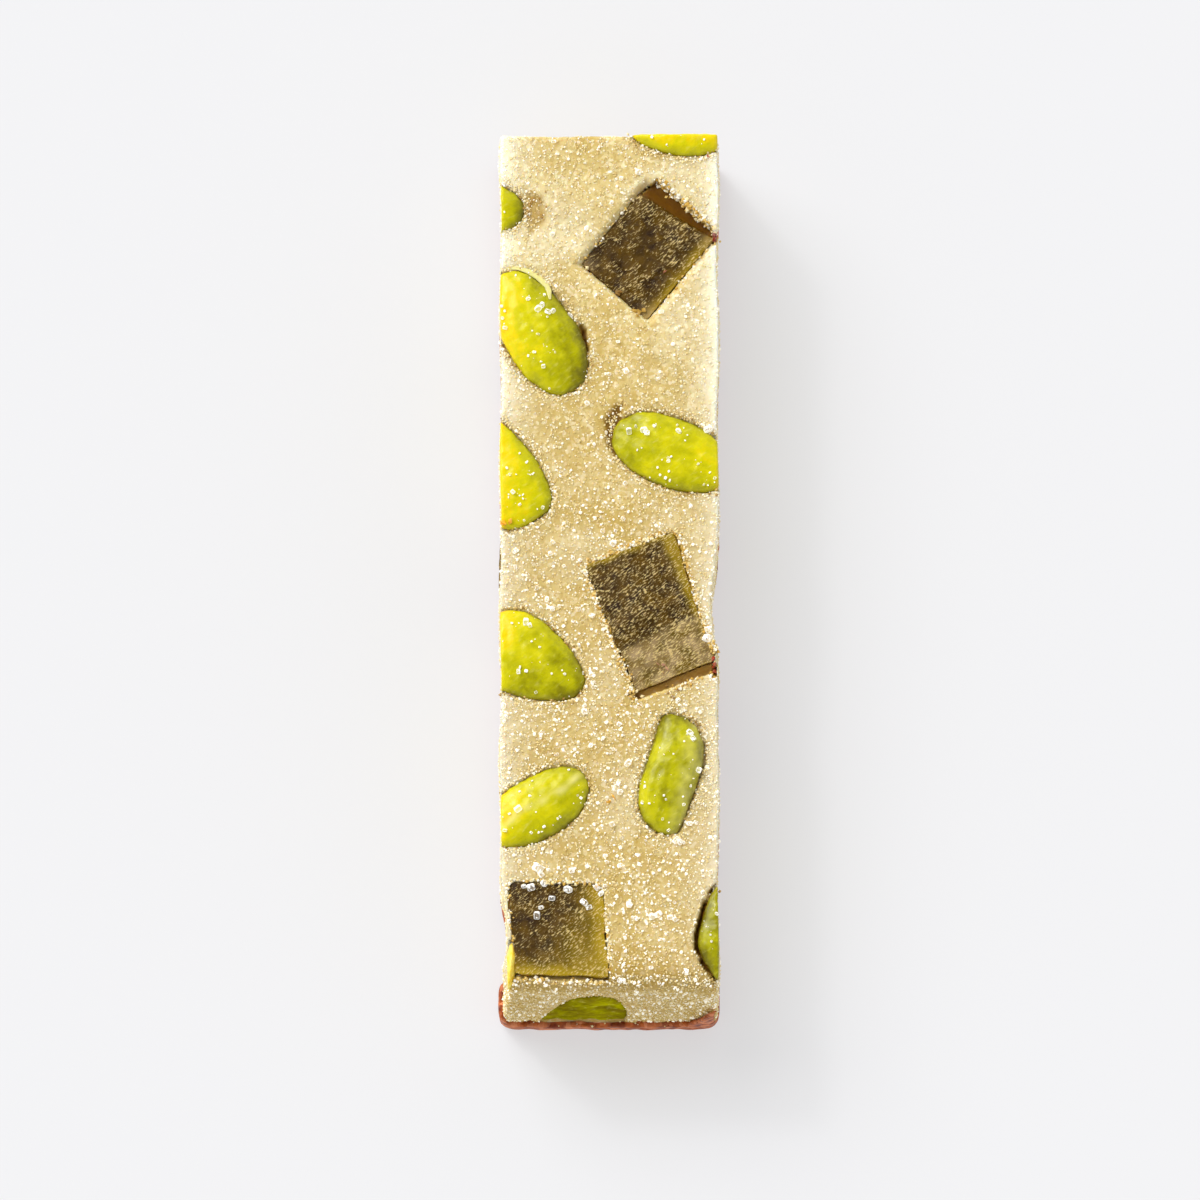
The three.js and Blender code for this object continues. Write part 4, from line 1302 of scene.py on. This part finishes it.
def buildSugar(paste, kernels, cubes, chocolate):
    random = np.random.default_rng(sugar["seed"])
    quads = paste["quads"]
    free = paste["free"][quads].all(axis=1)
    top = paste["onTop"][quads].all(axis=1)
    rim = paste["rim"][quads].mean(axis=1)
    edge = np.clip(paste["edge"][quads].mean(axis=1), 0, 1)
    low = paste["points"][quads[:, 0], 2] < photo["planeHeight"] - 1
    front = upFacing(paste, -0.2) * (paste["points"][quads[:, 0], 1] < sugar["frontFrom"])
    topKernels = joinSurfaces(kernels[:10])
    middles = chocolate["points"][chocolate["quads"]].mean(axis=1)
    onFoot = (middles[:, 1] < sugar["footFrom"]) & (middles[:, 2] > sugar["footAbove"])
    ledge = upFacing(chocolate, 0.5) * onFoot
    cluster = smoothNoise(topKernels["points"], 1.6, 15)[topKernels["quads"][:, 0]]
    onKernels = upFacing(topKernels, 0.6) * smoothStep(cluster, -0.1, 0.5)

    def grainsOn(surface, weights, count):
        places, outward, chosen = scatterOn(random, surface, weights, count)
        sizes = unevenSizes(random, sugar["grainSize"], count)
        tone = random.random(count)
        if surface is paste:
            # grains take on the paste's painted edge glow and its pale patches
            tone = 1 - (1 - tone) * (1 - edge[chosen])
        return places + outward * sugar["grainLift"] * sizes[:, :1], sizes, tone

    batches = [
        grainsOn(paste, (free & top).astype(float), sugar["topGrains"]),
        grainsOn(paste, free * top * rim, sugar["rimGrains"]),
        grainsOn(paste, (free & ~top & low).astype(float), sugar["sideGrains"]),
        grainsOn(paste, free * front, sugar["frontGrains"]),
        grainsOn(chocolate, ledge, sugar["footGrains"]),
    ]
    places = np.concatenate([batch[0] for batch in batches])
    sizes = np.concatenate([batch[1] for batch in batches])
    points, faces = joinCopies(places, sizes, randomTurns(random, len(places)), grainCorners, grainFaces)
    tone = np.concatenate([batch[2] for batch in batches])
    zones = np.repeat(tone, len(grainCorners))[:, None] * np.ones((1, 3))
    makePiece("fineSugarGrains", points, faces, grainMaterial(), smooth=False,
              zones=zones, zoneName="tone")
    print("grains:", len(faces), "triangles")

    # Crystals: fewer towards the far end
    corners, form = crystalForm()
    nearShare = 0.3 + 0.7 * smoothStep(-paste["points"][quads[:, 0], 1], -25, 25)
    everything = joinSurfaces([paste, topKernels, joinSurfaces(cubes[:3])])
    vectors = [Vector(point) for point in everything["points"]]
    tree = BVHTree.FromPolygons(vectors, everything["quads"].tolist())

    def crystalsOn(surface, weights, count, sizeRange):
        places, outward, _ = scatterOn(random, surface, weights, count)
        least, most = sizeRange
        size = least + (most - least) * random.random((count, 1)) ** sugar["crystalPower"]
        sides = random.uniform(*sugar["crystalSides"], size=(count, 3))
        return places + outward * sugar["crystalLift"] * size, size * sides

    def crystalsAt(marks):
        size = np.array([[mark[2]] for mark in marks])
        line = np.array(pixelLine(tree, [mark[:2] for mark in marks], 0.0))
        lift = np.array((0, 0, sugar["crystalLift"]))
        return line + lift * size, size * np.array(sugar["markedSides"])

    def crystalPiece(name, batches, material):
        places = np.concatenate([batch[0] for batch in batches])
        sizes = np.concatenate([batch[1] for batch in batches])
        points, faces = joinCopies(places, sizes, randomTurns(random, len(places)), corners, form)
        makePiece(name, points, faces, material, smooth=False)
        print(name + ":", len(faces), "triangles")

    small = sugar["crystalSize"]
    crystalPiece("sugarCrystals", [
        crystalsOn(paste, free * top * nearShare, sugar["topCrystals"], small),
        crystalsOn(paste, (free & ~top & low).astype(float), sugar["sideCrystals"], small),
        crystalsOn(paste, free * front, sugar["frontCrystals"], small),
        crystalsOn(topKernels, onKernels, sugar["kernelCrystals"], small),
    ], crystalMaterial())
    crystalPiece("clearCrystals", [
        crystalsOn(paste, free * top * nearShare, sugar["topClear"], sugar["clearSize"]),
        crystalsOn(topKernels, onKernels, sugar["kernelClear"], sugar["clearSize"]),
        crystalsAt(sugar["marked"] + sugar["clear"]),
    ], clearSugarMaterial())
    return tree


# Coloured crumbs: pixel across and down, spread in pixels, how many, size in mm, colour
crumbs = (
    (707, 155, 1, 2, (0.3, 0.2, 0.15), linear(186, 74, 40)),
    (664, 270, 1, 2, (0.3, 0.2, 0.15), linear(150, 70, 30)),
    (608, 801, 2, 3, (0.5, 0.18, 0.15), linear(226, 168, 40)),
    (537, 204, 6, 18, (0.22, 0.2, 0.14), linear(184, 140, 60)),
    (618, 293, 2, 4, (0.45, 0.35, 0.2), linear(150, 106, 26)),
    (638, 312, 2, 4, (0.5, 0.4, 0.22), linear(178, 136, 34)),
    (665, 664, 3, 3, (0.5, 0.4, 0.07), linear(206, 150, 118)),
    (506, 523, 2, 4, (0.6, 0.4, 0.3), linear(240, 170, 20)),
    (674, 690, 8, 8, (0.2, 0.16, 0.14), linear(150, 108, 40)),
    # Painted shade: these dark red crumbs are chocolate colour darkened, for the base seen deep in shade in
    # the notches
    (715, 235, 1, 3, (0.4, 0.4, 0.25), linear(120, 10, 4)),
    (715, 239, 1, 3, (0.4, 0.4, 0.25), linear(120, 10, 4)),
    (714, 659, 1, 3, (0.3, 0.4, 0.25), linear(160, 44, 18)),
    (715, 665, 1, 3, (0.3, 0.4, 0.25), linear(160, 44, 18)),
    (715, 671, 1, 3, (0.3, 0.4, 0.25), linear(160, 44, 18)),
)
# The crumbly outer rim of the crevice beside the first cube
creviceRim = {
    "from": (657, 178),
    "to": (716, 231),
    "outward": (0.75, -0.66),
    "spread": 1.6,
    "rise": 0.1,
    "count": 150,
    "size": (0.12, 0.36),
}
crumbSeed = 9
crumbStray = (0.2, 0.2, 0.05)  # in mm, from the rim of a pocket
# Crumbs along the rims of the pockets: how many, size in mm and colours
rimCrumbs = {
    "kernel": (900, (0.1, 0.24), ((172, 132, 56), (206, 172, 96), (240, 222, 170), (255, 250, 232))),
    "cube": (800, (0.12, 0.3), ((206, 160, 54), (222, 186, 96), (246, 228, 176), (255, 250, 232))),
}


def buildCrumbs(tree, rims):
    random = np.random.default_rng(crumbSeed)
    places, sizes, colors = [], [], []
    for kind, (count, sizeRange, tones) in rimCrumbs.items():
        spots = rims[kind][random.integers(len(rims[kind]), size=count)]
        places.extend(spots + random.normal(size=(count, 3)) * crumbStray)
        sizes.extend(unevenSizes(random, sizeRange, count))
        palette = np.array([linear(*tone)[:3] for tone in tones])
        colors.extend(palette[random.integers(len(tones), size=count)])
    rim = creviceRim
    shares = random.random((rim["count"], 1))
    pixels = np.array(rim["from"]) * (1 - shares) + np.array(rim["to"]) * shares
    pixels += np.array(rim["outward"]) * random.normal(size=(rim["count"], 1)) * rim["spread"]
    places.extend(np.array(pixelLine(tree, pixels, rim["rise"])))
    sizes.extend(unevenSizes(random, rim["size"], rim["count"]))
    colors.extend(palette[random.integers(len(palette), size=rim["count"])])
    for across, down, spread, count, size, color in crumbs:
        pixels = np.array((across, down)) + random.normal(size=(count, 2)) * spread
        places.extend(pixelLine(tree, pixels, 0.4 * size[2]))
        sizes.extend(np.array(size) * random.uniform(0.7, 1.2, size=(count, 1)))
        colors.extend([color[:3]] * count)
    turns = randomTurns(random, len(places))
    points, faces = joinCopies(np.array(places), np.array(sizes), turns, grainCorners, grainFaces)
    zones = np.repeat(np.array(colors), len(grainCorners), axis=0)
    makePiece("crumbs", points, faces, crumbMaterial(), smooth=False, zones=zones, zoneName="tone")
    print("crumbs:", len(faces), "triangles")


# Stage: a pale floor, soft light from the upper left and the photograph's camera
stage = {
    "floorSize": 3.0,
    "floorColor": linear(148, 148, 150),
    "floorGlow": 0.54,  # a lit table, which keeps the shadow weak
    "overhead": 0.2,
    "around": 0.9,
    "suns": {"soft": (2.3, 45.0), "crisp": (0.55, 8.0)},  # strength and angle
    "sunElevation": 45.0,
    "sunAzimuth": 131.0,  # from the far left
}


def buildStage():
    half = stage["floorSize"] / 2
    mesh = bpy.data.meshes.new("floor")
    corners = [(-half, -half, 0), (half, -half, 0), (half, half, 0), (-half, half, 0)]
    mesh.from_pydata(corners, [], [(0, 1, 2, 3)])
    material, tree, shader = newMaterial("paleFloor")
    setSockets(shader, Base_Color=stage["floorColor"], Roughness=0.9, Specular_IOR_Level=0.0)
    setSockets(shader, Emission_Color=(1.0, 1.0, 1.01, 1.0), Emission_Strength=stage["floorGlow"])
    mesh.materials.append(material)
    floor = bpy.data.objects.new("floor", mesh)
    bpy.context.scene.collection.objects.link(floor)

    world = bpy.data.worlds.new("studio")
    world.use_nodes = True
    sky = world.node_tree
    background = sky.nodes["Background"]
    place = put(sky, "ShaderNodeTexCoord").outputs["Generated"]
    up = put(sky, "ShaderNodeSeparateXYZ", {0: place}).outputs["Z"]
    # Darker overhead, so that less veil lies on the top
    bright = stretch(sky, up, 0.65, 0.85, stage["around"], stage["overhead"])
    sky.links.new(bright, background.inputs["Strength"])
    background.inputs["Color"].default_value = (1.0, 1.0, 1.0, 1.0)
    bpy.context.scene.world = world

    azimuth = math.radians(stage["sunAzimuth"])
    elevation = math.radians(stage["sunElevation"])
    flat = math.cos(elevation)
    towards = Vector((math.cos(azimuth) * flat, math.sin(azimuth) * flat, math.sin(elevation)))
    for name, (strength, angle) in stage["suns"].items():
        light = bpy.data.lights.new(name, "SUN")
        light.energy = strength
        light.angle = math.radians(angle)
        sun = bpy.data.objects.new(name, light)
        sun.rotation_euler = towards.to_track_quat("Z", "Y").to_euler()
        bpy.context.scene.collection.objects.link(sun)

    lens = bpy.data.cameras.new("camera")
    lens.lens = photo["lens"]
    lens.sensor_width = photo["sensor"]
    camera = bpy.data.objects.new("camera", lens)
    rise = math.radians(photo["elevation"])
    away = Vector((0, -math.cos(rise), math.sin(rise)))
    frameWidth = photo["pixels"] / photo["pixelsPerMm"] * mm
    distance = frameWidth * photo["lens"] / photo["sensor"]
    target = Vector((photo["middle"][0] * mm, photo["middle"][1] * mm, photo["planeHeight"] * mm))
    camera.location = target + away * distance
    camera.rotation_euler = away.to_track_quat("Z", "Y").to_euler()
    lens.clip_end = 10 * distance
    bpy.context.scene.collection.objects.link(camera)
    bpy.context.scene.camera = camera
    bpy.context.scene.view_settings.view_transform = "Standard"
    print("stage ready")


pasteSurface = buildPaste()
kernelSurfaces = buildKernels()
cubeSurfaces = buildCubes()
buildPeel()
chocolateSurface = buildChocolate()
surfaceTree = buildSugar(pasteSurface, kernelSurfaces, cubeSurfaces, chocolateSurface)
buildCrumbs(surfaceTree, pasteSurface["rims"])
buildStage()
